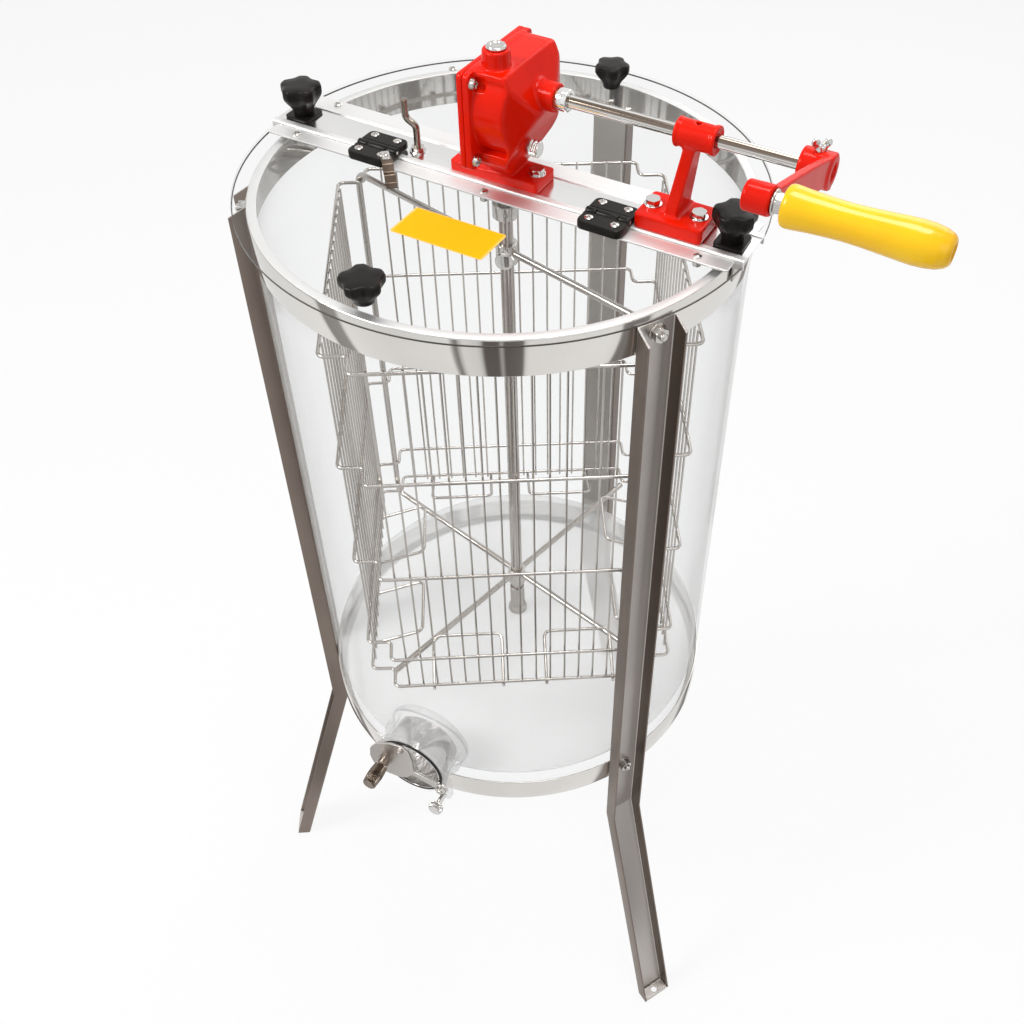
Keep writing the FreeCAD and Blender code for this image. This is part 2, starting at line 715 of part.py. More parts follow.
def make_gears():
    own = int(VALUE["gear_teeth"])
    mate = int(VALUE["pinion_teeth"])
    gear = doc.addObject("Part::Feature", "crank_gear")
    gear.Shape = bevel_gear(own, mate, 8, VALUE["shaft"] + 0.02, 11, 8)
    gear.Placement = at(0, 0, VALUE["axis_z"], ALONG_X)
    piece(gear, "crank_gear")
    pinion = doc.addObject("Part::Feature", "cage_pinion")
    pinion.Shape = bevel_gear(mate, own, 8, 4.02, 7.3, 8)
    turn = FreeCAD.Rotation(Vector(1, 0, 0), 180).multiply(FreeCAD.Rotation(Vector(0, 0, 1), 180 / mate))
    pinion.Placement = FreeCAD.Placement(Vector(0, 0, VALUE["axis_z"]), turn)
    piece(pinion, "cage_pinion")


# ------------------------------------------------------------------ crank

CRANK_TURN = 161


def make_crank():
    axis = sized("axis_z")
    shaft = cylinder("shaft_rod", sized("shaft"), 329, (-9, 0, axis), ALONG_X)
    piece(shaft, "crank_shaft")
    collar = cut("collar_blank", cylinder("collar_outer", 12.5, 15.5, (56.5, 0, axis), ALONG_X),
                 [cylinder("collar_bore", sized("shaft"), 30, (50, 0, axis), ALONG_X)])
    piece(collar, "shaft_collar")

    reach = sized("crank_reach")
    body = new_body("arm")
    hub = ring(sketch_on(body, "YZ_Plane", "arm_hub", 295), 0, 0, 16)
    pad(body, hub, 29)
    knuckle = ring(sketch_on(body, "YZ_Plane", "arm_knuckle", 297), reach, 0, 13.5)
    pad(body, knuckle, 25)
    web = sketch_on(body, "YZ_Plane", "arm_web", 315)
    outline(web, [(-2, -15.9), (60, -13), (reach, -13), (reach, 13), (60, 13), (-2, 15.9)])
    pad(body, web, 8)
    bore = ring(sketch_on(body, "YZ_Plane", "arm_bore", 330), 0, 0, sized("shaft"))
    pocket(body, bore, 50)
    mouth = ring(sketch_on(body, "YZ_Plane", "arm_mouth", 330), 0, 0, 8.5)
    pocket(body, mouth, 10)
    seat = ring(sketch_on(body, "YZ_Plane", "arm_spindle_bore", 330), reach, 0, 5)
    pocket(body, seat, 50)
    place(body, (0, 0, axis), ((1, 0, 0), CRANK_TURN))
    wing_hole = cylinder("wing_hole", 3, 20, (310, 0, axis + 5))
    piece(cut("crank_arm_blank", body, [wing_hole]), "crank_arm")

    turn = math.radians(CRANK_TURN)
    spot = (math.cos(turn) * VALUE["crank_reach"], VALUE["axis_z"] + math.sin(turn) * VALUE["crank_reach"])
    spindle = fuse("spindle_blank", [
        cylinder("spindle_rod", 4.97, 140, (300, spot[0], spot[1]), ALONG_X),
        prism("spindle_head", 6, 8, 4, (440, spot[0], spot[1]), ALONG_X)])
    piece(spindle, "handle_spindle")
    nut = cut("spindle_nut_blank", prism("spindle_nut_hex", 6, 9, 7.5, (323.1, spot[0], spot[1]), ALONG_X),
              [cylinder("spindle_nut_bore", 5, 30, (310, spot[0], spot[1]), ALONG_X)])
    piece(nut, "spindle_nut")

    radii = (14.2, 16.4, 17, 15.8, 14.6, 14, 14.6, 15.6, 16.5, 16.3, 15.2, 12.5, 8)
    heights = (0, 1.8, 5, 18, 34, 50, 66, 80, 95, 106, 116, 123, 127)
    shape = many_sided(radii, heights, 24)
    bore = Part.makeCylinder(5.1, 108)
    recess = Part.makeCylinder(8.6, 30, Vector(0, 0, 108))
    grip = doc.addObject("Part::Feature", "grip_shape")
    grip.Shape = shape.cut(bore).cut(recess)
    place(grip, (331, spot[0], spot[1]), ALONG_X)
    piece(grip, "handle_grip")

    wing = fuse("wing_screw_blank", [
        prism("wing_shank", 12, 2.9, 12, (0, 0, 0)),
        prism("wing_hub", 12, 4.5, 7, (0, 0, 9)),
        box("wing_blade", (-11, -1.3, 12), (11, 1.3, 21))])
    place(wing, (310, 0, axis + 7.5))
    piece(wing, "wing_screw")


# ------------------------------------------------------------------ lids

def half_disc(name, side):
    """A half lid: disc, cut back to the edge beside the bridge; side is -1 front, +1 back."""
    plate = cylinder(name + "_disc", sized("lid_outer"), sized("lid_gauge"), (0, 0, sized("lid_bottom")))
    edge = sized("lid_edge")
    low = (-300, -edge, sized("lid_bottom") - 5) if side < 0 else (-300, -300, sized("lid_bottom") - 5)
    high = (300, 300, sized("lid_bottom") + 15) if side < 0 else (300, edge, sized("lid_bottom") + 15)
    return cut(name + "_blank", plate, [box(name + "_gap", low, high)])


def rail(name, side):
    """The metal strip on the straight edge of a half lid."""
    low_y = -sized("rail_edge") if side < 0 else sized("lid_edge")
    high_y = -sized("lid_edge") if side < 0 else sized("rail_edge")
    top = sized("lid_bottom") + sized("lid_gauge")
    return box(name + "_strip", (-257, low_y, top), (257, high_y, top + sized("rail_gauge")))


def make_lids():
    top = VALUE["lid_bottom"] + VALUE["lid_gauge"]
    for name, side in (("front", -1), ("back", 1)):
        piece(half_disc("lid_" + name, side), "lid_" + name)
        piece(rail("rail_" + name, side), "lid_%s_rail" % name)
    front = star_knob("front_knob_shape", 21, 25, 9, 3, 0)
    place(front, (-2, -236, top + 0.05))
    piece(front, "lid_front_knob")
    back = star_knob("back_knob_shape", 19, 26, 9, 3, 0)
    place(back, (6, 222, top + 0.05))
    piece(back, "lid_back_knob")

    y = VALUE["hinge_axis_y"]
    z = VALUE["hinge_axis_z"]
    pin = cylinder("hinge_pin_rod", 1.6, 46, (-23, y, z), ALONG_X)
    fixed_leaf = box("fixed_leaf_plate", (-23, y + 4.6, VALUE["hem_top"]), (23, y + 23, z + 3))
    moving_leaf = box("moving_leaf_plate", (-23, y - 24, top + 2), (23, y - 4.6, z + 2.5))
    knuckles_fixed = []
    knuckles_moving = []
    for start, length, group in ((-23, 11.2, knuckles_fixed), (-11.5, 22.6, knuckles_moving),
                                 (11.4, 11.6, knuckles_fixed)):
        barrel = cylinder("knuckle%d" % start, 4.2, length, (start, y, z), ALONG_X)
        away = 1 if group is knuckles_fixed else -1
        low_y, high_y = sorted((y, y + away * 5.2))
        tie = box("tie%d" % start, (start, low_y, z - 1.6), (start + length, high_y, z + 2.4))
        group.extend([barrel, tie])
    pin_hole = cylinder("hinge_pin_hole", 1.65, 60, (-30, y, z), ALONG_X)
    fixed = cut("fixed_leaf", fuse("fixed_leaf_blank", [fixed_leaf] + knuckles_fixed), [pin_hole])
    pin_hole = cylinder("hinge_pin_hole_moving", 1.65, 60, (-30, y, z), ALONG_X)
    moving = cut("moving_leaf", fuse("moving_leaf_blank", [moving_leaf] + knuckles_moving), [pin_hole])
    spots = [at(x, 0, 0) for x in (-130, 128)]
    copies("hinge_fixed_leaves", fixed, spots)
    copies("hinge_moving_leaves", moving, spots)
    copies("hinge_pins", pin, spots)


# ------------------------------------------------------------------ drain gate

GATE_PIVOT = (45, -14)


def make_gate():
    z = sized("gate_z")
    face = sized("gate_face")
    start = sized("tube_start")
    outside = fuse("tube_outside", [
        cylinder("tube_outer", sized("gate_outer"), face - start, (0, -face, z), ALONG_Y),
        box("tube_lug", (36, -face, z - 46), (52, -face + 9, z - 8))])
    tube = cut("tube_blank", outside,
               [cylinder("tube_bore", sized("gate_bore"), 80, (0, -face - 5, z), ALONG_Y)])
    place(tube, (0, 0, 0), ((0, 0, 1), GATE_TURN))
    piece(tube, "outlet_tube")
    seal = cut("seal_blank", cylinder("seal_outer", sized("gate_outer"), 3, (0, -face - 3, z), ALONG_Y),
               [cylinder("seal_bore", sized("gate_bore"), 80, (0, -face - 5, z), ALONG_Y)])
    place(seal, (0, 0, 0), ((0, 0, 1), GATE_TURN))
    piece(seal, "gate_seal")

    body = new_body("blade")
    plane = sketch_on(body, "XZ_Plane", "blade_outline", face + 3.3)
    points = [(-56, -8), (-54, 10), (-44, 24), (-22, 38), (-6, 42), (4, 34), (7, 18), (7, 4), (40, -2),
              (52, -8), (53, -20), (43, -25), (8, -14), (2, -15), (-4, -24), (-16, -31), (-36, -32),
              (-52, -24)]
    outline(plane, [(across, z + up) for across, up in points])
    pad(body, plane, 3)
    hole = ring(sketch_on(body, "XZ_Plane", "blade_pivot", face + 1), GATE_PIVOT[0], z + GATE_PIVOT[1], 3.1)
    pocket(body, hole, 8, reverse=True)
    place(body, (0, 0, 0), ((0, 0, 1), GATE_TURN))
    piece(body, "gate_blade")
    holder = fuse("gate_handle_blank", [
        cylinder("handle_rod", 9.5, 32, (-36, -face - 42.4, z - 10), ALONG_Y),
        cylinder("handle_root", 7, 5, (-36, -face - 11.4, z - 10), ALONG_Y)])
    place(holder, (0, 0, 0), ((0, 0, 1), GATE_TURN))
    piece(holder, "gate_handle")

    bolt = fuse("gate_bolt_blank", [
        cylinder("gate_bolt_shank", 3, 5.2, (GATE_PIVOT[0], -face - 8.2, z + GATE_PIVOT[1]), ALONG_Y),
        prism("gate_bolt_head", 6, 7, 5, (GATE_PIVOT[0], -face - 11.6, z + GATE_PIVOT[1]), ALONG_Y)])
    place(bolt, (0, 0, 0), ((0, 0, 1), GATE_TURN))
    piece(bolt, "gate_pivot_bolt")
    thumb = fuse("gate_thumb_blank", [
        cylinder("gate_thumb_shank", 3.5, 28, (44, -face - 28, z - 37), ALONG_Y),
        cylinder("gate_thumb_head", 8, 9, (44, -face - 36, z - 37), ALONG_Y)])
    place(thumb, (0, 0, 0), ((0, 0, 1), GATE_TURN))
    piece(thumb, "gate_thumb_screw")


# ------------------------------------------------------------------ cage

CAGE_TURN = 30.6
RING_HEIGHTS = (VALUE["cage_top"], 962.9, 809.9, 667.7, VALUE["cage_bottom"])
TOP_SPOKE_Z = 1119


def side_turns():
    return [about_axis(CAGE_TURN + 90 * side) for side in range(4)]


def make_cage():
    rod = cylinder("cage_rod", sized("cage_shaft"), 715, (0, 0, 553))
    tip = cylinder("cage_rod_tip", 4, 22, (0, 0, 1266))
    piece(fuse("cage_shaft_blank", [rod, tip]), "cage_shaft")
    coupling = cut("coupling_blank", cylinder("coupling_outer", 13.5, 16, (0, 0, 1162)),
                   [cylinder("coupling_bore", sized("cage_shaft"), 40, (0, 0, 1150))])
    piece(coupling, "shaft_coupling")
    hub = cut("hub_blank", cylinder("hub_outer", sized("hub_outer"), 24, (0, 0, 0)),
              [cylinder("hub_bore", sized("cage_shaft"), 60, (0, 0, -10))])
    copies("cage_hubs", hub, [at(0, 0, 1107), at(0, 0, 600)])

    far = VALUE["cage_side"]
    half = VALUE["cage_half"]
    wire = VALUE["ring_wire"]
    rod = VALUE["spoke_rod"]
    inner = VALUE["cage_notch"]
    notch = inner * math.sqrt(2)
    post_middle = notch + (wire + rod) * math.sqrt(2) + 0.1
    low_spokes = VALUE["cage_bottom"] - wire - rod
    hub_edge = VALUE["hub_outer"]
    short = prism("spoke_short", 8, rod, notch - wire - hub_edge, (hub_edge, 0, 0), ALONG_X)
    long = prism("spoke_long", 8, rod, post_middle - hub_edge, (hub_edge, 0, 0), ALONG_X)
    corners = [CAGE_TURN + 45 + 90 * k for k in range(4)]
    doc.recompute()
    spokes = []
    for index, angle in enumerate(corners):
        source = long if index % 2 else short
        for height in ((low_spokes, TOP_SPOKE_Z) if index % 2 else (low_spokes,)):
            shape = source.Shape.copy()
            shape.Placement = about_axis(angle, at(0, 0, height)).multiply(shape.Placement)
            spokes.append(shape)
    thing = doc.addObject("Part::Feature", "cage_spokes")
    thing.Shape = Part.makeCompound(spokes)
    piece(thing, "cage_spokes")
    gap = rod + 0.05
    length = TOP_SPOKE_Z - low_spokes - gap * 2
    post = prism("corner_post", 8, rod, length, (post_middle, 0, low_spokes + gap))
    copies("cage_corner_posts", post, [about_axis(corners[k]) for k in (1, 3)])

    rings = []
    for height in RING_HEIGHTS:
        points = []
        for side in range(4):
            angle = math.radians(90 * side)
            for out, along in ((far, -half), (far, half), (inner, inner)):
                points.append(Vector(out * math.cos(angle) - along * math.sin(angle),
                                     out * math.sin(angle) + along * math.cos(angle), height))
        rings.extend(wire_runs(points, wire))
    thing = doc.addObject("Part::Feature", "cage_rings")
    thing.Shape = Part.makeCompound(rings)
    thing.Placement = about_axis(CAGE_TURN)
    piece(thing, "cage_rings")

    wires = []
    inner = far - VALUE["ring_wire"] - VALUE["screen_wire"]
    low = VALUE["cage_bottom"] - 3
    high = VALUE["cage_top"] + 3
    for index in range(15):
        wires.append(prism("screen_wire%d" % index, 6, sized("screen_wire"), high - low,
                           (inner, -140 + 20 * index, low)))
    master = doc.addObject("Part::Compound", "screen")
    master.Links = wires
    for side, turn in enumerate(side_turns(), start=1):
        copies("cage_screen_%d" % side, master, [turn])

    rests = []
    low = VALUE["cage_bottom"] - 2 * VALUE["ring_wire"] - 1.6
    for left, right in ((-108, -23), (30, 112)):
        points = [Vector(far + 3, left, low), Vector(122, left, low + 22), Vector(122, right, low + 22),
                  Vector(far + 3, right, low)]
        rests.append(wire_rod(points, 8, VALUE["ring_wire"]))
    thing = doc.addObject("Part::Feature", "rest")
    thing.Shape = Part.makeCompound(rests)
    copies("frame_rests", thing, side_turns())

    screw = fuse("cage_screw_blank", [prism("cage_screw_shank", 8, 3, 14, (11.55, 0, 0), ALONG_X),
                                      cylinder("cage_screw_disc", 10, 5, (25, 0, 0), ALONG_X)])
    place(screw, (0, 0, 1126), ((0, 0, 1), -64))
    piece(screw, "cage_thumb_screw")


make_drum()
make_legs()
make_bridge()
make_gearbox()
make_stand()
make_gears()
make_crank()
make_lids()
make_gate()
make_cage()
doc.recompute()

for thing in doc.Objects:
    if "Invalid" in thing.State or "Error" in thing.State:
        raise ValueError("failed feature: " + thing.Name)
for thing in pieces:
    if thing.Shape.isNull() or not thing.Shape.isValid():
        raise ValueError("bad shape: " + thing.Label)

os.makedirs("parts", exist_ok=True)
for thing in pieces:
    thing.Shape.exportStep("parts/" + thing.Label + ".step")
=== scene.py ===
import math

import bpy
import numpy as np
from mathutils import Matrix


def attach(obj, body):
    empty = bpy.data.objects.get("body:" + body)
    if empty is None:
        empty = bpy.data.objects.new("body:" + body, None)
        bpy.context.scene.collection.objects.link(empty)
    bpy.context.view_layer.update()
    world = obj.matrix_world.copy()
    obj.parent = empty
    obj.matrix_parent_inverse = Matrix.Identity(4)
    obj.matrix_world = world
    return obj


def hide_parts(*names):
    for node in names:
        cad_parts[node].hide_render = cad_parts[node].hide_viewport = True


# Hand-cranked drum spinner. Lengths in the shape functions are millimetres, turned to metres when a
# mesh is made. +Z up, +X along the bridge towards the crank, +Y away from the drain gate.

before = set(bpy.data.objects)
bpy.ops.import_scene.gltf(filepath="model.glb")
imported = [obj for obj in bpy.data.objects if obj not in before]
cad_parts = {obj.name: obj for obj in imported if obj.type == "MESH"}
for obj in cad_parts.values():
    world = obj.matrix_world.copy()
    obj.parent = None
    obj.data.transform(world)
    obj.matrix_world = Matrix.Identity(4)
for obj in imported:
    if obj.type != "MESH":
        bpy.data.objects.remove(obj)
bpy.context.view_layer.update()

MM = 0.001
FULL = 2 * np.pi
TIP = 0.3  # radius at which the end face of a turned solid is closed


# ------------------------------------------------------------------ camera and light

CAMERA_PLACE = (0.5532, -0.9082, 1.8272)
CAMERA_RIGHT = (0.88127, 0.47249, 0.01177)
CAMERA_UP = (-0.34690, 0.62972, 0.69507)
CAMERA_BACK = (0.32099, -0.61662, 0.71885)
SENSOR_WIDTH = 36
LENS = 42.19
SHIFT = (-0.0576, 0.0012)


def make_camera():
    """A camera whose place and three axes are given."""
    data = bpy.data.cameras.new("camera")
    data.sensor_width = SENSOR_WIDTH
    data.sensor_fit = "HORIZONTAL"
    data.lens = LENS
    data.shift_x, data.shift_y = SHIFT
    data.clip_end = 60
    camera = bpy.data.objects.new("camera", data)
    bpy.context.scene.collection.objects.link(camera)
    turned = np.eye(4)
    turned[:3, :3] = np.stack([CAMERA_RIGHT, CAMERA_UP, CAMERA_BACK], axis=1)
    turned[:3, 3] = CAMERA_PLACE
    camera.matrix_world = Matrix(turned)
    bpy.context.scene.camera = camera


def make_lamp(name, place, aim, size, power):
    """A square soft lamp at a place, facing a point."""
    data = bpy.data.lights.new(name, "AREA")
    data.shape = "SQUARE"
    data.size = size
    data.energy = power
    lamp = bpy.data.objects.new(name, data)
    bpy.context.scene.collection.objects.link(lamp)
    back = np.subtract(place, aim)
    back = back / np.linalg.norm(back)
    side = np.cross((0, 0, 1), back)
    side = side / np.linalg.norm(side)
    turned = np.eye(4)
    turned[:3, :3] = np.stack([side, np.cross(back, side), back], axis=1)
    turned[:3, 3] = place
    lamp.matrix_world = Matrix(turned)


# ------------------------------------------------------------------ node trees

class Link:
    """The output of a node. Plus, minus, times, divide and power on it add Math nodes."""

    def __init__(self, tree, socket):
        self.tree = tree
        self.socket = socket

    def combine(self, operation, first, second):
        return self.tree.node("ShaderNodeMath", {"operation": operation}, {0: first, 1: second})

    def __add__(self, other):
        return self.combine("ADD", self, other)

    def __radd__(self, other):
        return self.combine("ADD", other, self)

    def __sub__(self, other):
        return self.combine("SUBTRACT", self, other)

    def __rsub__(self, other):
        return self.combine("SUBTRACT", other, self)

    def __mul__(self, other):
        return self.combine("MULTIPLY", self, other)

    def __rmul__(self, other):
        return self.combine("MULTIPLY", other, self)

    def __truediv__(self, other):
        return self.combine("DIVIDE", self, other)

    def __pow__(self, other):
        return self.combine("POWER", self, other)


class Tree:
    """A node tree that is written as expressions."""

    def __init__(self, tree):
        self.tree = tree
        tree.nodes.clear()

    def node(self, kind, settings=None, sockets=None, output=0):
        """Adds a node: its settings first, then a value or a link for each named socket."""
        made = self.tree.nodes.new(kind)
        for name, value in (settings or {}).items():
            if name == "stops":
                self.set_stops(made.color_ramp, value)
            else:
                setattr(made, name, value)
        for name, value in (sockets or {}).items():
            if isinstance(value, Link):
                self.tree.links.new(value.socket, made.inputs[name])
            else:
                made.inputs[name].default_value = value
        return Link(self, made.outputs[output])

    def set_stops(self, ramp, stops):
        while len(ramp.elements) < len(stops):
            ramp.elements.new(0.5)
        for element, (position, shade) in zip(ramp.elements, stops):
            element.position = position
            element.color = (shade, shade, shade, 1)

    def noise(self, scale, detail=3, stretch=(1, 1, 1)):
        """Noise on Object coordinates in metres, stretched along the main axes."""
        spot = self.node("ShaderNodeTexCoord", output="Object")
        place = self.node("ShaderNodeMapping", None, {"Vector": spot, "Scale": stretch})
        return self.node("ShaderNodeTexNoise", None, {"Vector": place, "Scale": scale, "Detail": detail})

    def steps(self, value, stops):
        return self.node("ShaderNodeValToRGB", {"stops": stops}, {"Fac": value})

    def blend(self, share, first, second):
        return self.node("ShaderNodeMix", {"data_type": "RGBA"},
                         {"Factor": share, "A": first, "B": second}, output="Result")

    def bump(self, height, strength, distance):
        return self.node("ShaderNodeBump", None,
                         {"Height": height, "Strength": strength, "Distance": distance})

    def shader(self, shade, fixed, roughness, normal):
        """Ends the tree with a Principled shader: fixed values first, then what varies."""
        varied = {"Base Color": shade, "Roughness": roughness, "Normal": normal}
        self.close(self.node("ShaderNodeBsdfPrincipled", None, {**fixed, **varied}))

    def close(self, surface):
        self.node_end("ShaderNodeOutputMaterial", surface)

    def node_end(self, kind, surface):
        made = self.tree.nodes.new(kind)
        self.tree.links.new(surface.socket, made.inputs["Surface"])


def colour(red, green, blue):
    """An opaque linear colour."""
    return (red, green, blue, 1)


def new_material(name):
    """An empty material and its node tree."""
    material = bpy.data.materials.new(name)
    material.use_nodes = True
    return material, Tree(material.node_tree)


# ------------------------------------------------------------------ finishes

def metal(name, light, dark, roughness, spread=0.08, grain=900, stretch=(1, 1, 1), depth=0.00004,
          streaks=False):
    """Bare metal: two greys and a roughness that follow fine polishing lines, blended softly, or, where
    streaks are asked for, in sharp light and dark streaks that are painted reflection."""
    material, tree = new_material(name)
    lines = tree.noise(grain, 4, stretch)
    patches = tree.noise(9, 3)
    wear = tree.steps(patches, [(0.35, 0), (0.7, 1)])
    # With streaks, the two greys fall in sharp bands round the part: a reflection painted into the base
    # colour.
    share = tree.steps(lines, [(0.42, 0), (0.53, 1)]) if streaks else lines * 0.6 + wear * 0.4
    shade = tree.blend(share, light, dark)
    tree.shader(shade, {"Metallic": 1.0}, roughness + spread * (lines - 0.5) + spread * 0.6 * wear,
                tree.bump(lines, 0.25, depth))
    return material


def plastic(name, main, other, roughness, coat=0.0, grain=260, gloss=0.3):
    """Moulded plastic or rubber: a slightly mottled colour with a fine moulded skin."""
    material, tree = new_material(name)
    skin = tree.noise(grain, 4)
    clouds = tree.noise(18, 3)
    shade = tree.blend(tree.steps(clouds, [(0.3, 0), (0.75, 1)]), main, other)
    tree.shader(shade, {"Coat Weight": coat, "Coat Roughness": 0.05, "Specular IOR Level": gloss},
                roughness + 0.12 * (skin - 0.5) + 0.05 * clouds, tree.bump(skin, 0.3, 0.00006))
    return material


def clear_sheet(name, tint, film, body, edge, roughness=0.06):
    """Clear or milky acrylic: seen through face on, fuller where it is seen edge on."""
    material, tree = new_material(name)
    facing = tree.node("ShaderNodeLayerWeight", None, {"Blend": 0.5}, output="Facing")
    haze = tree.noise(14, 3, (1, 1, 0.25))
    share = body + edge * facing ** 5 + 0.012 * haze
    gloss = tree.node("ShaderNodeBsdfPrincipled", None, {
        "Base Color": film, "Roughness": roughness + 0.05 * haze, "IOR": 1.49})
    through = tree.node("ShaderNodeBsdfTransparent", None, {"Color": tint})
    tree.close(tree.node("ShaderNodeMixShader", None, {"Fac": share, 1: through, 2: gloss}))
    return material


def gloss_paint(name, main, deep):
    """Thick glossy enamel on a casting: thin clear coat, soft orange peel, deeper in soft clouds."""
    material, tree = new_material(name)
    peel = tree.noise(420, 2)
    cast = tree.noise(70, 4)
    clouds = tree.noise(22, 3)
    shade = tree.blend(tree.steps(clouds, [(0.3, 0), (0.8, 1)]), main, deep)
    tree.shader(shade, {"Coat Weight": 0.2, "Coat Roughness": 0.05, "Specular IOR Level": 0.05},
                0.32 + 0.1 * (cast - 0.5), tree.bump(peel * 0.5 + cast, 0.2, 0.0003))
    return material


def label_film(name):
    """A plain yellow sticker: matt film with a faint grain and worn, paler edges."""
    material, tree = new_material(name)
    spot = tree.node("ShaderNodeTexCoord", output="UV")
    parts = [tree.node("ShaderNodeSeparateXYZ", None, {0: spot}, output=side) for side in ("X", "Y")]
    reach = [tree.node("ShaderNodeMath", {"operation": "ABSOLUTE"}, {0: part - 0.5}) for part in parts]
    far = tree.node("ShaderNodeMath", {"operation": "MAXIMUM"}, {0: reach[0] * 2, 1: reach[1] * 2})
    grain = tree.noise(300, 3)
    worn = tree.steps(far + 0.06 * grain, [(0.0, 0), (0.97, 0), (1.02, 1)])
    ink = tree.blend(grain, colour(0.97, 0.47, 0.004), colour(0.93, 0.43, 0.004))
    shade = tree.blend(worn * 0.6, ink, colour(0.9, 0.62, 0.2))
    tree.shader(shade, {"Specular IOR Level": 0.1}, 0.5 + 0.1 * grain, tree.bump(grain, 0.15, 0.00002))
    return material


FINISHES = {
    "clear_acrylic": clear_sheet("clear_acrylic", colour(0.99, 0.992, 0.992), colour(0.5, 0.49, 0.48),
                                 0.01, 0.42),
    "pale_floor": clear_sheet("pale_floor", colour(0.99, 0.99, 0.99), colour(0.96, 0.96, 0.955), 0.36, 0.2,
                              0.3),
    "polished_steel": metal("polished_steel", colour(0.80, 0.78, 0.75), colour(0.64, 0.62, 0.59), 0.04,
                            0.04, 500, (1, 1, 14), 0.000006),
    "brushed_steel": metal("brushed_steel", colour(0.60, 0.57, 0.54), colour(0.49, 0.46, 0.43), 0.36, 0.08,
                           900, (1, 1, 0.3), 0.000008),
    "bright_aluminium": metal("bright_aluminium", colour(0.86, 0.86, 0.85), colour(0.74, 0.73, 0.72),
                              0.13, 0.06, 500, (0.04, 1, 1), 0.00001),
    "bright_fasteners": metal("bright_fasteners", colour(0.72, 0.70, 0.68), colour(0.42, 0.40, 0.37), 0.16,
                              0.1, 1500),
    "chrome_parts": metal("chrome_parts", colour(0.80, 0.79, 0.78), colour(0.5, 0.48, 0.46), 0.08, 0.06,
                          1200),
    "wire_steel": metal("wire_steel", colour(0.64, 0.61, 0.58), colour(0.40, 0.37, 0.34), 0.14, 0.1, 800),
    "gear_steel": metal("gear_steel", colour(0.5, 0.49, 0.48), colour(0.36, 0.35, 0.34), 0.34, 0.1, 700),
    "bronze_bush": metal("bronze_bush", colour(0.66, 0.44, 0.2), colour(0.48, 0.3, 0.13), 0.3, 0.1, 900),
    "black_plastic": plastic("black_plastic", colour(0.008, 0.007, 0.006), colour(0.016, 0.014, 0.012),
                             0.3, 0.1, gloss=0.1),
    "black_rubber": plastic("black_rubber", colour(0.014, 0.014, 0.014), colour(0.028, 0.027, 0.026),
                            0.6),
    "yellow_plastic": plastic("yellow_plastic", colour(0.98, 0.60, 0.002), colour(0.94, 0.50, 0.002), 0.2,
                              0.2, 120),
    "painted_red": gloss_paint("painted_red", colour(0.84, 0.013, 0.001), colour(0.68, 0.007, 0.001)),
}
YELLOW_LABEL = label_film("yellow_label")
OUTLET_CLEAR = clear_sheet("outlet_acrylic", colour(0.98, 0.98, 0.98), colour(0.93, 0.93, 0.93), 0.2, 0.6)
# Leg flanges: darker brown steel, painted shade for the sides that turn away from the light.
LEG_FLANGE_SHADE = metal("leg_flange_painted_shade", colour(0.27, 0.22, 0.19), colour(0.20, 0.16, 0.135), 0.34, 0.08, 900,
                  (1, 1, 0.3), 0.000008)
SATIN_RAIL = metal("satin_rail", colour(0.82, 0.82, 0.81), colour(0.72, 0.71, 0.70), 0.5, 0.06, 700,
                   (0.04, 1, 1), 0.000008)
# Drive shaft steel: steel grey set in near-white and dark-brown streaks round the rod, which are painted
# reflection.
ROD_PAINTED_REFLECTION = metal("rod_painted_reflection", colour(0.84, 0.83, 0.81), colour(0.20, 0.16, 0.13), 0.12, 0.06, 300,
                  (0.002, 1, 1), 0.000006, streaks=True)
STAY_STEEL = metal("stay_rod_steel", colour(0.42, 0.36, 0.31), colour(0.14, 0.11, 0.09), 0.14, 0.06, 400)
# Cage shaft steel: steel grey set in light and dark streaks along the shaft, which are painted reflection.
SHAFT_PAINTED_REFLECTION = metal("shaft_painted_reflection", colour(0.60, 0.57, 0.54), colour(0.38, 0.34, 0.31), 0.22, 0.1, 260,
                    (1, 1, 0.02), 0.00001, streaks=True)
SPRING_STEEL = metal("spring_steel", colour(0.16, 0.12, 0.09), colour(0.08, 0.06, 0.05), 0.3)
# Near-black line for the lids' lower outer edge: painted shade where the lid overhangs the band.
EDGE_SHADE_LINE = plastic("lid_edge_painted_shade", colour(0.05, 0.045, 0.04), colour(0.10, 0.09, 0.08), 0.4)


# ------------------------------------------------------------------ stage

# Lightness of the cards that stand round the studio, by direction, one full turn: what polished
# metal shows close by on the floor, farther out on it, and above.
LOW_CARDS = [(0.0, 0.9), (0.05, 0.9), (0.055, 0.15), (0.075, 0.2), (0.08, 0.95), (0.14, 0.9),
             (0.15, 0.3), (0.185, 0.25), (0.19, 0.95), (0.24, 0.9), (0.26, 0.85), (0.44, 0.95),
             (0.45, 0.1), (0.47, 0.15), (0.475, 0.95), (0.60, 0.9), (0.63, 0.1), (0.65, 0.2),
             (0.66, 0.95), (0.79, 0.9), (0.80, 0.1), (0.825, 0.2), (0.83, 0.95), (1.0, 0.9)]
FAR_CARDS = [(0.0, 0.9), (0.1, 0.95), (0.105, 0.2), (0.13, 0.25), (0.135, 0.95), (0.2, 0.85),
             (0.272, 0.95), (0.274, 0.1), (0.28, 0.1), (0.282, 0.85), (0.304, 0.75), (0.307, 0.0),
             (0.325, 0.0), (0.328, 0.4), (0.332, 0.0), (0.352, 0.05), (0.356, 0.9), (0.45, 0.98),
             (0.466, 0.9), (0.469, 0.1), (0.5, 0.15), (0.505, 0.95), (0.7, 0.95), (0.705, 0.2),
             (0.73, 0.2), (0.735, 0.95), (0.86, 0.85), (1.0, 0.9)]
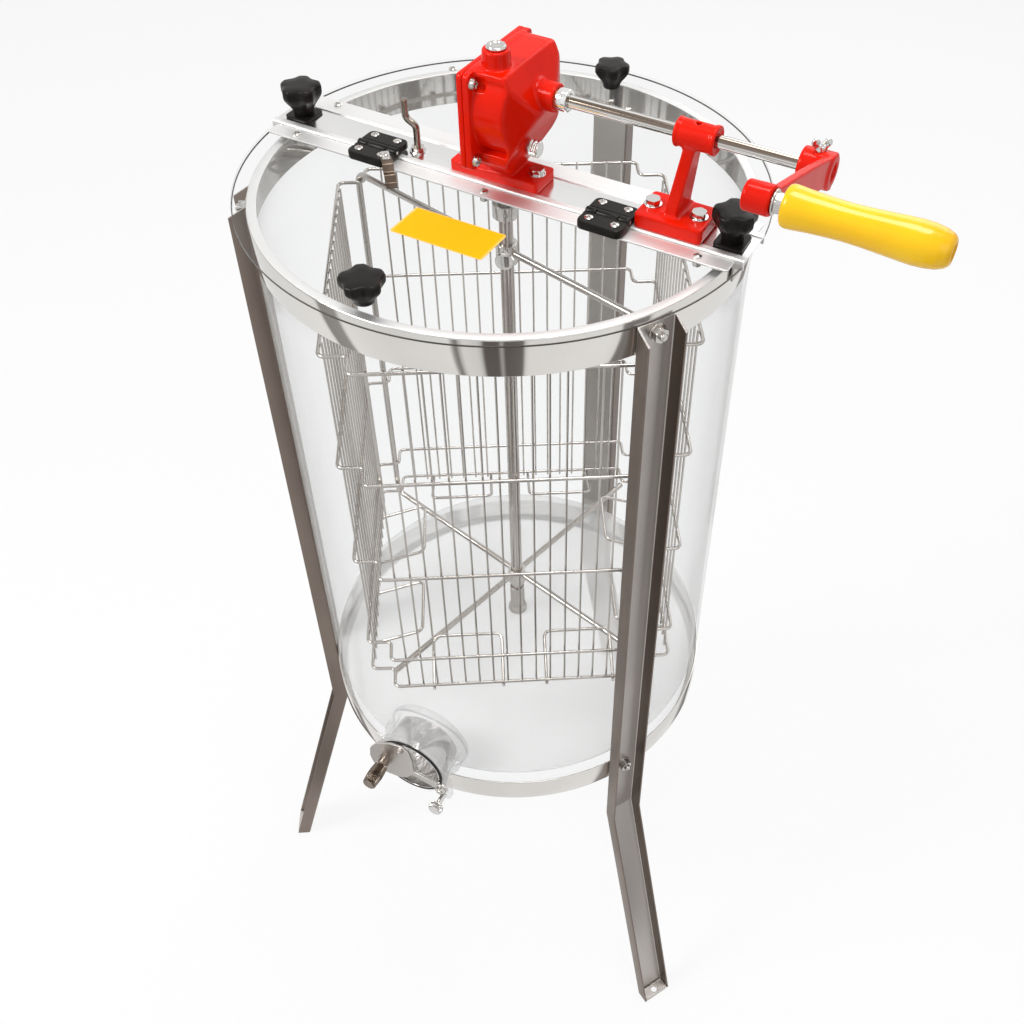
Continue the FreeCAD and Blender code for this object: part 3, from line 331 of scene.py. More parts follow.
HIGH_CARDS = [(0.0, 0.95), (0.12, 0.6), (0.2, 1.0), (0.34, 0.9), (0.42, 0.35), (0.5, 0.95),
              (0.62, 1.0), (0.7, 0.45), (0.78, 1.0), (0.9, 0.9), (1.0, 0.95)]
CARD_DARK = colour(0.055, 0.04, 0.03)
WHITE = colour(1, 1, 1)


def card_colours(tree, coordinates, cards):
    """Warm dark to white round the vertical, by the direction from the middle."""
    spot = tree.node("ShaderNodeTexCoord", output=coordinates)
    across = tree.node("ShaderNodeSeparateXYZ", None, {0: spot}, output="X")
    along = tree.node("ShaderNodeSeparateXYZ", None, {0: spot}, output="Y")
    angle = tree.node("ShaderNodeMath", {"operation": "ARCTAN2"}, {0: along, 1: across}) / FULL + 0.5
    return tree.blend(tree.steps(angle, cards), CARD_DARK, WHITE)


def seen_directly(tree):
    """1 for the camera's own rays and those that pass through glass, else 0."""
    path = [tree.node("ShaderNodeLightPath", output=name) for name in ("Is Camera Ray",
                                                                       "Is Transmission Ray")]
    return tree.node("ShaderNodeMath", {"operation": "MAXIMUM"}, {0: path[0], 1: path[1]})


def make_stage():
    """White floor that keeps a faint shadow, and a world that is white to the camera, cards to
    polished metal, and a soft fill to all else."""
    half = 7.0
    corners = [(-half, -half, 0), (half, -half, 0), (half, half, 0), (-half, half, 0)]
    mesh = bpy.data.meshes.new("studio_floor")
    mesh.from_pydata(corners, [], [(0, 1, 2, 3)])
    floor = bpy.data.objects.new("studio_floor", mesh)
    bpy.context.scene.collection.objects.link(floor)
    material, tree = new_material("studio_floor")
    paper = tree.noise(3, 3)
    shade = tree.blend(paper, colour(0.93, 0.93, 0.93), colour(0.95, 0.95, 0.95))
    spot = tree.node("ShaderNodeTexCoord", output="Object")
    away = tree.node("ShaderNodeVectorMath", {"operation": "LENGTH"}, {0: spot}, output="Value")
    lit = tree.blend(tree.steps(away * 0.5, [(0.40, 0), (0.43, 1)]), card_colours(tree, "Object", LOW_CARDS),
                     card_colours(tree, "Object", FAR_CARDS))
    cards = tree.node("ShaderNodeEmission", None, {"Color": lit, "Strength": 1.0})
    white = tree.node("ShaderNodeEmission", None, {"Color": WHITE, "Strength": 1.0})
    matt = tree.node("ShaderNodeBsdfDiffuse", None, {"Color": shade})
    glossy = tree.node("ShaderNodeLightPath", output="Is Glossy Ray")
    plain = tree.node("ShaderNodeMixShader", None, {"Fac": seen_directly(tree) * 0.86, 1: matt, 2: white})
    tree.close(tree.node("ShaderNodeMixShader", None, {"Fac": glossy * 0.9, 1: plain, 2: cards}))
    mesh.materials.append(material)

    world = bpy.data.worlds.new("studio")
    bpy.context.scene.world = world
    world.use_nodes = True
    tree = Tree(world.node_tree)
    glossy = tree.node("ShaderNodeLightPath", output="Is Glossy Ray")
    seen = tree.blend(glossy, WHITE, card_colours(tree, "Generated", HIGH_CARDS))
    plain = tree.node("ShaderNodeBackground", None, {"Color": seen, "Strength": 1.0})
    fill = tree.node("ShaderNodeBackground", None, {"Color": WHITE, "Strength": 0.34})
    share = tree.node("ShaderNodeMath", {"operation": "MAXIMUM"}, {0: seen_directly(tree), 1: glossy})
    tree.node_end("ShaderNodeOutputWorld",
                  tree.node("ShaderNodeMixShader", None, {"Fac": share, 1: fill, 2: plain}))


# ------------------------------------------------------------------ shapes
# A form is (points, faces): an n by 3 array and a list of index arrays, one for each face size.

def turn(axis, degrees):
    """Rotation matrix about a main axis, named x, y or z."""
    angle = math.radians(degrees)
    first, second = [(1, 2), (2, 0), (0, 1)]["xyz".index(axis)]
    matrix = np.eye(3)
    matrix[first, first] = matrix[second, second] = math.cos(angle)
    matrix[second, first] = math.sin(angle)
    matrix[first, second] = -math.sin(angle)
    return matrix


TO_X = turn("y", 90)
TO_FRONT = turn("x", 90)
UPRIGHT = np.eye(3)


def put(form, place=(0, 0, 0), matrix=UPRIGHT):
    """The form turned by the matrix, then moved to the place."""
    points, faces = form
    return points @ matrix.T + np.array(place, float), faces


def together(*forms):
    """Several forms as one."""
    points = []
    faces = []
    count = 0
    for form_points, form_faces in forms:
        points.append(form_points)
        faces.extend(block + count for block in form_faces)
        count += len(form_points)
    return np.concatenate(points), faces


def outward(form):
    """Turns all faces round where the closed form's signed volume comes out negative."""
    points, faces = form
    middle = points.mean(axis=0)
    volume = 0
    for block in faces:
        corner = points[block] - middle
        for step in range(1, block.shape[1] - 1):
            volume += np.einsum("ij,ij->", corner[:, 0], np.cross(corner[:, step], corner[:, step + 1]))
    if volume < 0:
        faces = [block[:, ::-1] for block in faces]
    return points, faces


def skin(grid, close_u=False, close_v=True, caps=True):
    """A surface over a grid of points [u, v]: four-sided faces between neighbours, and the first and
    last rows closed by one face each where the rows don't join up."""
    rows, columns = grid.shape[:2]
    index = np.arange(rows * columns).reshape(rows, columns)
    if close_u:
        index = np.concatenate([index, index[:1]])
    if close_v:
        index = np.concatenate([index, index[:, :1]], axis=1)
    quads = np.stack([index[:-1, :-1], index[1:, :-1], index[1:, 1:], index[:-1, 1:]], axis=-1)
    faces = [quads.reshape(-1, 4)]
    if caps and not close_u:
        faces.append(index[:1, :columns][:, ::-1].copy())
        faces.append(index[-1:, :columns].copy())
    form = grid.reshape(-1, 3), faces
    return outward(form) if caps or (close_u and close_v) else form


def bent(corners, radius, closed=False, steps=6):
    """A line through corners in which each bend is an arc: from the corner, both tangent points lie
    radius * tan(half the turn) away, and the arc runs between them about their common centre."""
    corners = np.array(corners, float)
    if corners.shape[1] == 2:
        corners = np.column_stack([corners, np.zeros(len(corners))])
    middle = corners if closed else corners[1:-1]
    before = np.roll(corners, 1, axis=0) if closed else corners[:-2]
    after = np.roll(corners, -1, axis=0) if closed else corners[2:]
    back = before - middle
    ahead = after - middle
    back_length = np.linalg.norm(back, axis=1, keepdims=True)
    ahead_length = np.linalg.norm(ahead, axis=1, keepdims=True)
    back = back / back_length
    ahead = ahead / ahead_length
    opening = np.arccos(np.clip((back * ahead).sum(axis=1, keepdims=True), -1, 1))
    radius = np.broadcast_to(np.array(radius, float).reshape(-1, 1), opening.shape)
    reach = radius / np.tan(opening / 2)
    limit = np.minimum(back_length, ahead_length) * 0.49
    radius = np.where(reach > limit, radius * limit / reach, radius)
    reach = np.minimum(reach, limit)
    bisector = back + ahead
    bisector = bisector / np.maximum(np.linalg.norm(bisector, axis=1, keepdims=True), 1e-9)
    centre = middle + bisector * radius / np.sin(opening / 2)
    start = middle + back * reach - centre
    end = middle + ahead * reach - centre
    swing = np.pi - opening
    share = np.linspace(0, 1, steps).reshape(1, -1, 1)
    swing = np.maximum(swing, 1e-6).reshape(-1, 1, 1)
    arc = (np.sin((1 - share) * swing) * start[:, None] + np.sin(share * swing) * end[:, None])
    arc = arc / np.sin(swing) + centre[:, None]
    line = arc.reshape(-1, 3)
    if closed:
        return line
    return np.concatenate([corners[:1], line, corners[-1:]])


def profile(corners, radius, closed=False, steps=4):
    """The same in a plane: an outline with rounded corners."""
    return bent(corners, radius, closed, steps)[:, :2]


def rectangle(low, high, corner):
    """The same for a rectangle between two opposite corners."""
    return profile([(low[0], low[1]), (high[0], low[1]), (high[0], high[1]), (low[0], high[1])], corner,
                   True)


def circle(radius, count=16):
    """Points evenly round a circle."""
    angle = FULL * np.arange(count) / count
    return np.stack([radius * np.cos(angle), radius * np.sin(angle)], axis=1)


def carried(path, section, normal, closed=False):
    """A section carried along a flat path: its first coordinate lies across the path in the path's
    plane, its second along the plane's normal, and at a bend it stands on the line that halves it."""
    path = np.array(path, float)
    normal = np.array(normal, float)
    if closed:
        ahead = np.roll(path, -1, axis=0) - path
        back = path - np.roll(path, 1, axis=0)
    else:
        step = np.diff(path, axis=0)
        ahead = np.concatenate([step, step[-1:]])
        back = np.concatenate([step[:1], step])
    ahead = ahead / np.linalg.norm(ahead, axis=1, keepdims=True)
    back = back / np.linalg.norm(back, axis=1, keepdims=True)
    along = ahead + back
    along = along / np.linalg.norm(along, axis=1, keepdims=True)
    across = np.cross(along, normal) / np.sum(along * ahead, axis=1, keepdims=True)
    grid = path[:, None] + section[None, :, :1] * across[:, None] + section[None, :, 1:] * normal
    return skin(grid, close_u=closed)


def wire(corners, bend, radius, normal, closed=False, sides=10, steps=6):
    """Round wire along a flat bent line."""
    return carried(bent(corners, bend, closed, steps), circle(radius, sides), normal, closed)


def lathe(line, count=48, closed=False):
    """A (radius, height) line turned about Z; a closed line makes a ring, an open one a solid."""
    line = np.array(line, float)
    angle = FULL * np.arange(count) / count
    grid = np.stack([line[:, :1] * np.cos(angle), line[:, :1] * np.sin(angle),
                     np.repeat(line[:, 1:], count, axis=1)], axis=-1)
    return skin(grid, close_u=closed)


def turned_ring(corners, radius, count=48):
    """A closed outline of (radius, height) corners, rounded and turned about Z."""
    return lathe(profile(corners, radius, True), count, True)


def turned_solid(corners, radius, count=48):
    """An open line of (radius, height) corners, rounded, turned about Z and closed at both ends."""
    return lathe(profile(corners, radius), count)


def tube(inner, outer, low, high, ease, count=48):
    """A plain ring between two radii and two heights."""
    return turned_ring([(inner, low), (outer, low), (outer, high), (inner, high)], ease, count)


def pin(radius, low, high, ease=0.2, count=20):
    """A plain round shank or washer between two heights."""
    return turned_solid([(radius, low), (radius, high), (TIP, high)], ease, count)


def slab(outline, low, high, edge=0.6):
    """A flat plate between two heights over an outline, its edges eased: the outline is drawn in by
    the easing at both faces, along the line that halves each corner."""
    outline = np.array(outline, float)
    ahead = np.roll(outline, -1, axis=0) - outline
    ahead = ahead / np.maximum(np.linalg.norm(ahead, axis=1, keepdims=True), 1e-9)
    back = np.roll(ahead, 1, axis=0)
    area = np.sum(outline[:, 0] * np.roll(outline[:, 1], -1) - np.roll(outline[:, 0], -1) * outline[:, 1])
    side = 1 if area > 0 else -1
    inward = side * np.stack([-(ahead + back)[:, 1], (ahead + back)[:, 0]], axis=1)
    inward = inward / np.maximum(np.sum((ahead + back) ** 2, axis=1, keepdims=True), 0.4) * 2
    rows = []
    for share, height in ((1, low), (0.3, low + edge * 0.3), (0, low + edge), (0, high - edge),
                          (0.3, high - edge * 0.3), (1, high)):
        rows.append(np.column_stack([outline + inward * edge * share, np.full(len(outline), height)]))
    return skin(np.stack(rows))


def block(low, high, corner=1.0, edge=0.5):
    """A box between two corners with rounded upright edges."""
    return slab(rectangle(low, high, corner), low[2], high[2], edge)


def hexagon(size, low, high):
    """A nut or bolt head: six sides with its corners turned off at both faces."""
    angle = FULL * (np.arange(36) + 0.5) / 36
    fold = np.mod(angle, np.pi / 3) - np.pi / 6
    reach = size / np.cos(fold) * math.cos(math.pi / 6)
    rows = []
    for trim, height in ((0.93, low), (1, low + 0.9), (1, high - 0.9), (0.93, high), (0.6, high)):
        spread = np.minimum(reach, size * trim) if trim < 1 else reach
        rows.append(np.stack([spread * np.cos(angle), spread * np.sin(angle),
                              np.full(36, height)], axis=1))
    return skin(np.stack(rows))


def knurled(radius, low, high, ridges, depth=0.5, rows=10, ease=1.2):
    """A grip with crossed knurling: the radius drops where two slanting sets of waves both dip."""
    angle = FULL * np.arange(ridges * 4) / (ridges * 4)
    height = np.linspace(low + ease, high - ease, rows * 2 + 1)
    slant = FULL * (height - low)[:, None] / (high - low) * rows / ridges
    waves = np.cos(ridges * (angle + slant)) * np.cos(ridges * (angle - slant))
    reach = radius - depth + depth * waves
    grid = np.stack([reach * np.cos(angle), reach * np.sin(angle),
                     np.repeat(height[:, None], len(angle), axis=1)], axis=-1)
    ends = []
    for spread, level in ((0.5, low), (radius - depth - 1, low), (radius - depth - 0.2, low + ease * 0.6)):
        ends.append(np.stack([spread * np.cos(angle), spread * np.sin(angle),
                              np.full(len(angle), level)], axis=1))
    first = np.stack(ends)
    last = first[::-1].copy()
    last[..., 2] = low + high - last[..., 2]
    return skin(np.concatenate([first, grid, last]))


def screw_head(radius, height):
    """A domed screw head on Z = 0 with a cross-shaped recess: the dome's height drops by the slot's
    depth within a narrow band along both axes."""
    reach = np.array([0.02, 0.12, 0.24, 0.36, 0.48, 0.6, 0.72, 0.84, 0.93, 0.98, 1.0]) * radius
    angle = FULL * np.arange(48) / 48
    dome = height * np.sqrt(np.maximum(1 - (reach / radius) ** 2 * 0.75, 0))
    dome[-1] = 0
    x = reach[:, None] * np.cos(angle)
    y = reach[:, None] * np.sin(angle)
    lift = np.repeat(dome[:, None], 48, axis=1)
    near = np.minimum(np.abs(x), np.abs(y)) < radius * 0.14
    inside = reach[:, None] < radius * 0.62
    lift = lift - np.where(near & inside, height * 0.55, 0)
    return skin(np.stack([x, y, lift], axis=-1))


def lobed_head(radius, height, neck, low_part):
    """A star knob: a round neck that flares into a head with five blunt corners. The head's radius
    drops between the corners, which are cut off level, by a share that grows with the flare."""
    level = np.array([0, 0, 0.02, 0.13, 0.3, 0.5, 0.62, 0.67, 0.72, 0.88, 0.94, 0.98, 1, 1, 1])
    reach = np.array([0.1, 0.97, 1, 1.03, 0, 0, 0, 0, 0, 0, 0, 0, 0, 0, 0]) * neck
    head = np.array([0, 0, 0, 0, 0.64, 0.86, 0.965, 0.99, 1, 1, 0.98, 0.94, 0.86, 0.4, 0.02]) * radius
    dip = np.array([0, 0, 0, 0.02, 0.08, 0.14, 0.17, 0.18, 0.18, 0.18, 0.175, 0.17, 0.15, 0.05, 0])
    angle = FULL * np.arange(160) / 160
    valley = np.clip(1.3 * (0.5 + 0.5 * np.cos(5 * angle)) - 0.25, 0, 1) ** 0.9
    radial = (reach + head)[:, None] * (1 - dip[:, None] * valley)
    height_line = np.repeat((level * height)[:, None], len(angle), axis=1)
    grid = np.stack([radial * np.cos(angle), radial * np.sin(angle), height_line], axis=-1)
    return together(skin(grid), low_part)


# ------------------------------------------------------------------ castings
# A casting is a distance field: negative inside, in millimetres, sampled on a grid of points.

def ball_box(p, low, high, ease):
    """Distance to a box with its edges rounded by the easing."""
    middle = (np.array(low) + np.array(high)) / 2
    half = (np.array(high) - np.array(low)) / 2 - ease
    gap = np.abs(p - middle) - half
    outside = np.linalg.norm(np.maximum(gap, 0), axis=-1)
    return outside + np.minimum(gap.max(axis=-1), 0) - ease


def round_bar(p, start, end, radius, ease, far_radius=None):
    """Distance to a straight bar with flat ends; the radius may change evenly along it."""
    start = np.array(start, float)
    run = np.array(end, float) - start
    length = np.linalg.norm(run)
    run = run / length
    along = (p - start) @ run
    across = np.linalg.norm(p - start - along[..., None] * run, axis=-1)
    far_radius = radius if far_radius is None else far_radius
    wide = radius + (far_radius - radius) * np.clip(along / length, 0, 1)
    gap = np.stack([across - wide + ease, np.abs(along - length / 2) - length / 2 + ease], axis=-1)
    outside = np.linalg.norm(np.maximum(gap, 0), axis=-1)
    return outside + np.minimum(gap.max(axis=-1), 0) - ease


def flat_shape(p, corners, axes, low, high, ease):
    """Distance to a flat shape: a polygon in the plane of two axes, between two heights on the
    third. Each side of the polygon is a half plane, so the polygon is convex, listed either way."""
    first, second, third = axes
    corners = np.array(corners, float)
    middle = corners.mean(axis=0)
    sides = []
    for here, after in zip(corners, np.roll(corners, -1, axis=0)):
        normal = np.array([after[1] - here[1], here[0] - after[0]])
        normal = normal / np.linalg.norm(normal)
        if normal @ (here - middle) < 0:
            normal = -normal
        sides.append((p[..., first] - here[0]) * normal[0] + (p[..., second] - here[1]) * normal[1])
    height = np.abs(p[..., third] - (low + high) / 2) - (high - low) / 2
    plane = blend_many(sides, ease)
    return blend_many([plane, height], ease)


def blend_many(fields, ease):
    """The largest of several distances, rounded where two are nearly equal."""
    result = fields[0]
    for field in fields[1:]:
        result = -joined(-result, -field, ease)
    return result


def joined(one, two, ease):
    """The smaller of two distances, with a fillet where they meet: the polynomial smooth minimum."""
    if ease <= 0:
        return np.minimum(one, two)
    share = np.clip(ease - np.abs(one - two), 0, None) / ease
    return np.minimum(one, two) - share ** 2 * ease / 4


def carved(one, hollow, ease=0.6):
    """A field with a hollow taken out of it, the edge eased."""
    return -joined(-one, hollow, ease)


def casting(field, low, high, cell):
    """The surface where the field is zero. Every grid cell that the surface crosses gets one point,
    the mean of the crossings on its edges; every grid edge that it crosses joins the four cells
    round it with one face."""
    axes = [np.arange(a, b + cell, cell) for a, b in zip(low, high)]
    grid = np.stack(np.meshgrid(*axes, indexing="ij"), axis=-1).astype(np.float32)
    value = field(grid).astype(np.float32)
    cells = np.array(value.shape) - 1
    total = np.zeros(tuple(cells) + (3,))
    count = np.zeros(tuple(cells))
    crossings = []
    for axis in range(3):
        near = np.take(value, np.arange(cells[axis]), axis)
        far = np.take(value, np.arange(1, cells[axis] + 1), axis)
        crossed = (near < 0) != (far < 0)
        share = np.where(crossed, near / np.where(crossed, near - far, 1), 0)
        spot = np.take(grid, np.arange(cells[axis]), axis).astype(float)
        spot[..., axis] += share * cell
        spot *= crossed[..., None]
        crossings.append((crossed, near < 0))
        others = [k for k in range(3) if k != axis]
        for first in (0, 1):
            for second in (0, 1):
                cut = [slice(None)] * 3
                cut[others[0]] = slice(first, first + cells[others[0]])
                cut[others[1]] = slice(second, second + cells[others[1]])
                total += spot[tuple(cut)]
                count += crossed[tuple(cut)]
    used = count > 0
    index = np.full(tuple(cells), -1)
    index[used] = np.arange(used.sum())
    points = total[used] / count[used][:, None]
    faces = []
    for axis, (crossed, start_inside) in enumerate(crossings):
        first, second = [k for k in range(3) if k != axis]
        inner = [slice(None)] * 3
        inner[first] = slice(1, cells[first])
        inner[second] = slice(1, cells[second])
        spots = np.argwhere(crossed[tuple(inner)])
        inside = start_inside[tuple(inner)][tuple(spots.T)]
        corner = spots.copy()
        corner[:, first] += 1
        corner[:, second] += 1
        ring = []
        for shift_first, shift_second in ((-1, -1), (0, -1), (0, 0), (-1, 0)):
            cell_spot = corner.copy()
            cell_spot[:, first] += shift_first
            cell_spot[:, second] += shift_second
            ring.append(index[tuple(cell_spot.T)])
        quads = np.stack(ring, axis=1)
        forward = inside if axis != 1 else ~inside
        quads = np.where(forward[:, None], quads, quads[:, ::-1])
        faces.append(quads)
    return outward((points, [np.concatenate(faces)]))


def make_piece(name, form, material, body, nodes=(), sharp=38):
    """Puts a form into a mesh object in metres, smooth but for its sharp edges, riding on its body."""
    points, faces = form
    mesh = bpy.data.meshes.new(name)
    corner = np.concatenate([block.ravel() for block in faces]).astype(np.int32)
    sizes = np.concatenate([np.full(len(block), block.shape[1]) for block in faces])
    mesh.vertices.add(len(points))
    mesh.vertices.foreach_set("co", (points * MM).astype(np.float32).ravel())
    mesh.loops.add(len(corner))
    mesh.loops.foreach_set("vertex_index", corner)
    mesh.polygons.add(len(sizes))
    mesh.polygons.foreach_set("loop_start", np.concatenate([[0], np.cumsum(sizes)[:-1]]).astype(np.int32))
    mesh.update(calc_edges=True)
    mesh.validate()
    mesh.shade_smooth()
    mesh.set_sharp_from_angle(angle=math.radians(sharp))
    mesh.materials.append(material if isinstance(material, bpy.types.Material) else FINISHES[material])
    made = bpy.data.objects.new(name, mesh)
    bpy.context.scene.collection.objects.link(made)
    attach(made, body)
    if nodes:
        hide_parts(*nodes)
    return made


# ------------------------------------------------------------------ main sizes

AXIS_Z = 1303.0
WEB_TOP = 1208.5
HEM_TOP = 1210.0
LID_LOW = 1201.0
LID_TOP = 1206.0
RAIL_TOP = 1208.0
DRUM_OUTER = 250.0
BAND_OUTER = 252.0
BAND_GAUGE = 1.7
RIM_INNER = 242.0
RIM_TOP = 1199.0
RIM_LOW = 1159.0
FOOT_BAND_TOP = 498.0
FOOT_BAND_LOW = 462.0
SHAFT = 6.0
SHAFT_BORE = 6.05
CAGE_SHAFT = 7.3
CLAMP_X = 243.0
STAY_SPOT = (-99.0, -3.0)
PLUG_SPOT = (12.0, -27.0)
SIDE_SCREW_SPOT = (-25.0, 1262.0)
LID_REACH = 265.0
LID_EDGE = 26.6
STRIP_EDGE = 44.5
CRANK_REACH = 160.0
CRANK_TURN = 161.0
BARREL_Z = 1296.0
CAGE_TURN = 32.2
CAGE_SIDE = 184.3
CAGE_NOTCH = 155.8
RING_HEIGHTS = (1112.5, 966.5, 821.0, 675.5, 623.0)
RING_WIRE = 2.0
SCREEN_WIRE = 1.25
SPOKE_ROD = 3.7
TOP_SPOKE_Z = 1121.5
CROSS_Z = 617.3
GATE_Z = 553.5
GATE_FACE = 288.0
GATE_OUTER = 53.0
GATE_BORE = 45.0
GATE_MOUTH = 41.0
LEG_ANGLES = {"leg_right": -28, "leg_back": 92, "leg_left": 212}
LEG_FACE = 252.4
LEG_TOP = 1191.0
LEG_KINK_Z = 378.0
LEG_FOOT = 360.2
FOOT_HOLE_SPOT = 371.4
LEG_BOLT_HEIGHTS = (1179, 484)

ACROSS_X = np.array([[0, 0, 1], [1, 0, 0], [0, 1, 0]], float)
GATE_WAY = turn("z", 3) @ TO_FRONT
GATE_PLACE = (0, 0, GATE_Z)
SPINDLE_Y = CRANK_REACH * math.cos(math.radians(CRANK_TURN))
SPINDLE_Z = AXIS_Z + CRANK_REACH * math.sin(math.radians(CRANK_TURN))


# ------------------------------------------------------------------ drum

def second_finish(made, material, chosen):
    """Gives the faces that the test picks a second material; the test reads face middles in mm."""
    mesh = made.data
    mesh.materials.append(material)
    middle = np.zeros(len(mesh.polygons) * 3, np.float32)
    mesh.polygons.foreach_get("center", middle)
    mesh.polygons.foreach_set("material_index", chosen(middle.reshape(-1, 3) / MM).astype(np.int32))
    mesh.update()


def wall_with_hole(radius, hole, low, high):
    """The drum wall as one sheet: a cylinder of the radius, with a square field round the outlet left
    out and filled by rings that run from the square's sides in to the hole's circle. The rows and
    columns of the fields meet point by point along the square."""
    gate = math.radians(-87)
    reach = 80.0
    half = reach / radius
    step = np.linspace(-reach, reach, 17)
    over = np.linspace(GATE_Z + reach, high, 8)
    heights = np.concatenate([[low], GATE_Z + step, over[1:]])

    def sheet(angle, height):
        return np.stack(np.meshgrid(angle, height, indexing="ij"), axis=-1)

    columns = gate + step / radius
    fields = [sheet(np.linspace(gate + half, gate - half + FULL, 181), heights), sheet(columns, over),
              sheet(columns, [low, GATE_Z - reach])]
    side = step[:-1]
    full = np.full(16, reach)
    square = np.concatenate([np.stack(pair, axis=1) for pair in ((full, side), (-side, full),
                                                                 (-full, -side), (side, -full))])
    square = np.concatenate([square, square[:1]])
    ring = square / np.linalg.norm(square, axis=1, keepdims=True) * hole
    share = np.linspace(0, 1, 6)[:, None, None]
    flat = ring * (1 - share) + square * share
    fields.append(np.stack([gate + flat[..., 0] / radius, GATE_Z + flat[..., 1]], axis=-1))
    forms = []
    for field in fields:
        grid = np.stack([radius * np.cos(field[..., 0]), radius * np.sin(field[..., 0]), field[..., 1]],
                        axis=-1)
        forms.append(skin(grid, close_v=False, caps=False))
    return together(*forms)


def face_away_from_axis(form):
    """Turns each four-sided face so that it looks away from the drum's axis."""
    points, faces = form
    turned = []
    for block in faces:
        corner = points[block]
        normal = np.cross(corner[:, 1] - corner[:, 0], corner[:, 2] - corner[:, 0])
        middle = corner.mean(axis=1)
        inward = normal[:, 0] * middle[:, 0] + normal[:, 1] * middle[:, 1] < 0
        turned.append(np.where(inward[:, None], block[:, ::-1], block))
    return points, turned


def make_drum():
    """The clear wall, the two bands and the cup of the floor bearing."""
    wall = make_piece("drum_wall_clear", face_away_from_axis(
        wall_with_hole(DRUM_OUTER, GATE_OUTER + 0.3, 464.2, 1196.8)), "clear_acrylic", "stand",
        ["drum_wall"])
    weld = wall.modifiers.new("weld", "WELD")
    weld.merge_threshold = 0.0002
    thick = wall.modifiers.new("thickness", "SOLIDIFY")
    thick.thickness = 0.004
    thick.offset = -1
    outer, inner = BAND_OUTER, BAND_OUTER - BAND_GAUGE
    top = [(inner, RIM_LOW), (outer, RIM_LOW), (outer, RIM_TOP), (RIM_INNER, RIM_TOP),
           (RIM_INNER, RIM_TOP - BAND_GAUGE), (inner, RIM_TOP - BAND_GAUGE)]
    rounds = [0.6, 0.6, 1.6, 0.6, 0.6, 0.8]
    rim = make_piece("rim_band", turned_ring(top, rounds, 200), "polished_steel", "stand", ["top_band"])
    second_finish(rim, SATIN_RAIL, lambda middle: (middle[:, 2] > RIM_TOP - 0.3) & (
        np.hypot(middle[:, 0], middle[:, 1]) < outer - 0.7))
    low = [(inner, FOOT_BAND_TOP), (outer, FOOT_BAND_TOP), (outer, FOOT_BAND_LOW),
           (RIM_INNER, FOOT_BAND_LOW), (RIM_INNER, FOOT_BAND_LOW + BAND_GAUGE),
           (inner, FOOT_BAND_LOW + BAND_GAUGE)]
    make_piece("foot_band", turned_ring(low, rounds, 200), "polished_steel", "stand", ["bottom_band"])
    cup = [(7.35, 545), (7.35, 588), (9.6, 588), (9.6, 551), (12.4, 547), (12.4, 541), (0.3, 541),
           (0.3, 545)]
    make_piece("foot_bearing", turned_ring(cup, 0.8, 48), "brushed_steel", "stand", ["floor_bearing"])


def ring_plate(outline_radius, hole, low, high, corners):
    """A plate round a hole: each ray from the hole's middle runs to the edge of a rectangle."""
    angle = FULL * np.arange(64) / 64
    way = np.stack([np.cos(angle), np.sin(angle)], axis=1)
    edge = way * np.min(np.array(corners) / np.maximum(np.abs(way), 1e-6), axis=1, keepdims=True)
    rows = []
    for flat, height in ((way * hole, low), (way * hole, high), (edge - way * outline_radius, high),
                         (edge, high - outline_radius), (edge, low)):
        rows.append(np.column_stack([flat, np.full(64, height)]))
    return skin(np.stack(rows), close_u=True)


def make_legs():
    """Each leg: a channel section with rolled corners carried down its side line, round the kink and
    out to the floor, its top end sheared to the slope and its bottom end to the floor."""
    wide, deep, gauge = 21.7, 19.2, 2.2
    shear = 11
    section = profile([(0, -wide), (deep, -wide), (deep, -wide + gauge), (gauge, -wide + gauge),
                       (gauge, wide - gauge), (deep, wide - gauge), (deep, wide), (0, wide)],
                      [3, 0.8, 0.8, 1.4, 1.4, 0.8, 0.8, 3], True, 5)
    line = bent([(LEG_FACE, 0, LEG_TOP), (LEG_FACE, 0, LEG_KINK_Z), (LEG_FOOT, 0, 0)], 18, steps=6)
    along = np.diff(line[-2:], axis=0)[0]
    along = along / np.linalg.norm(along)
    for name, angle in LEG_ANGLES.items():
        points, faces = carried(line, section, (0, 1, 0))
        grid = points.reshape(len(line), len(section), 3)
        grid[0, :, 2] -= np.clip(section[:, 0] - gauge, 0, None) * shear / (deep - gauge)
        grid[-1] -= along * (grid[-1, :, 2:] / along[2])
        tab = put(ring_plate(1.0, 4.5, 0, 3, (8.6, wide - gauge - 0.2)), (FOOT_HOLE_SPOT, 0, 0))
        form = together((grid.reshape(-1, 3), faces), tab)
        leg = make_piece(name + "_channel", put(form, (0, 0, 0), turn("z", angle)), "brushed_steel",
                         "stand", [name])
        across = turn("z", angle)[:2, 1]
        # The side flanges get the darker brown steel: painted shade.
        second_finish(leg, LEG_FLANGE_SHADE, lambda middle: np.abs(middle[:, :2] @ across) > wide - gauge - 0.1)
    bolts = []
    for angle in LEG_ANGLES.values():
        for height in LEG_BOLT_HEIGHTS:
            nut = together(put(hexagon(8, 0, 7), (3.4, 0, 0), TO_X),
                           put(turned_solid([(9.2, 0), (9.2, 1.2), (0.4, 1.2)], 0.3, 32), (2.25, 0, 0),
                               TO_X),
                           put(turned_solid([(4, 0), (4, 13), (3, 14.2), (0.3, 14.2)], 0.6, 24),
                               (0.2, 0, 0), TO_X))
            bolts.append(put(put(nut, (LEG_FACE, 0, height)), (0, 0, 0), turn("z", angle)))
    make_piece("leg_bolt_set", together(*bolts), "bright_fasteners", "stand", ["leg_bolts"])


# ------------------------------------------------------------------ bridge

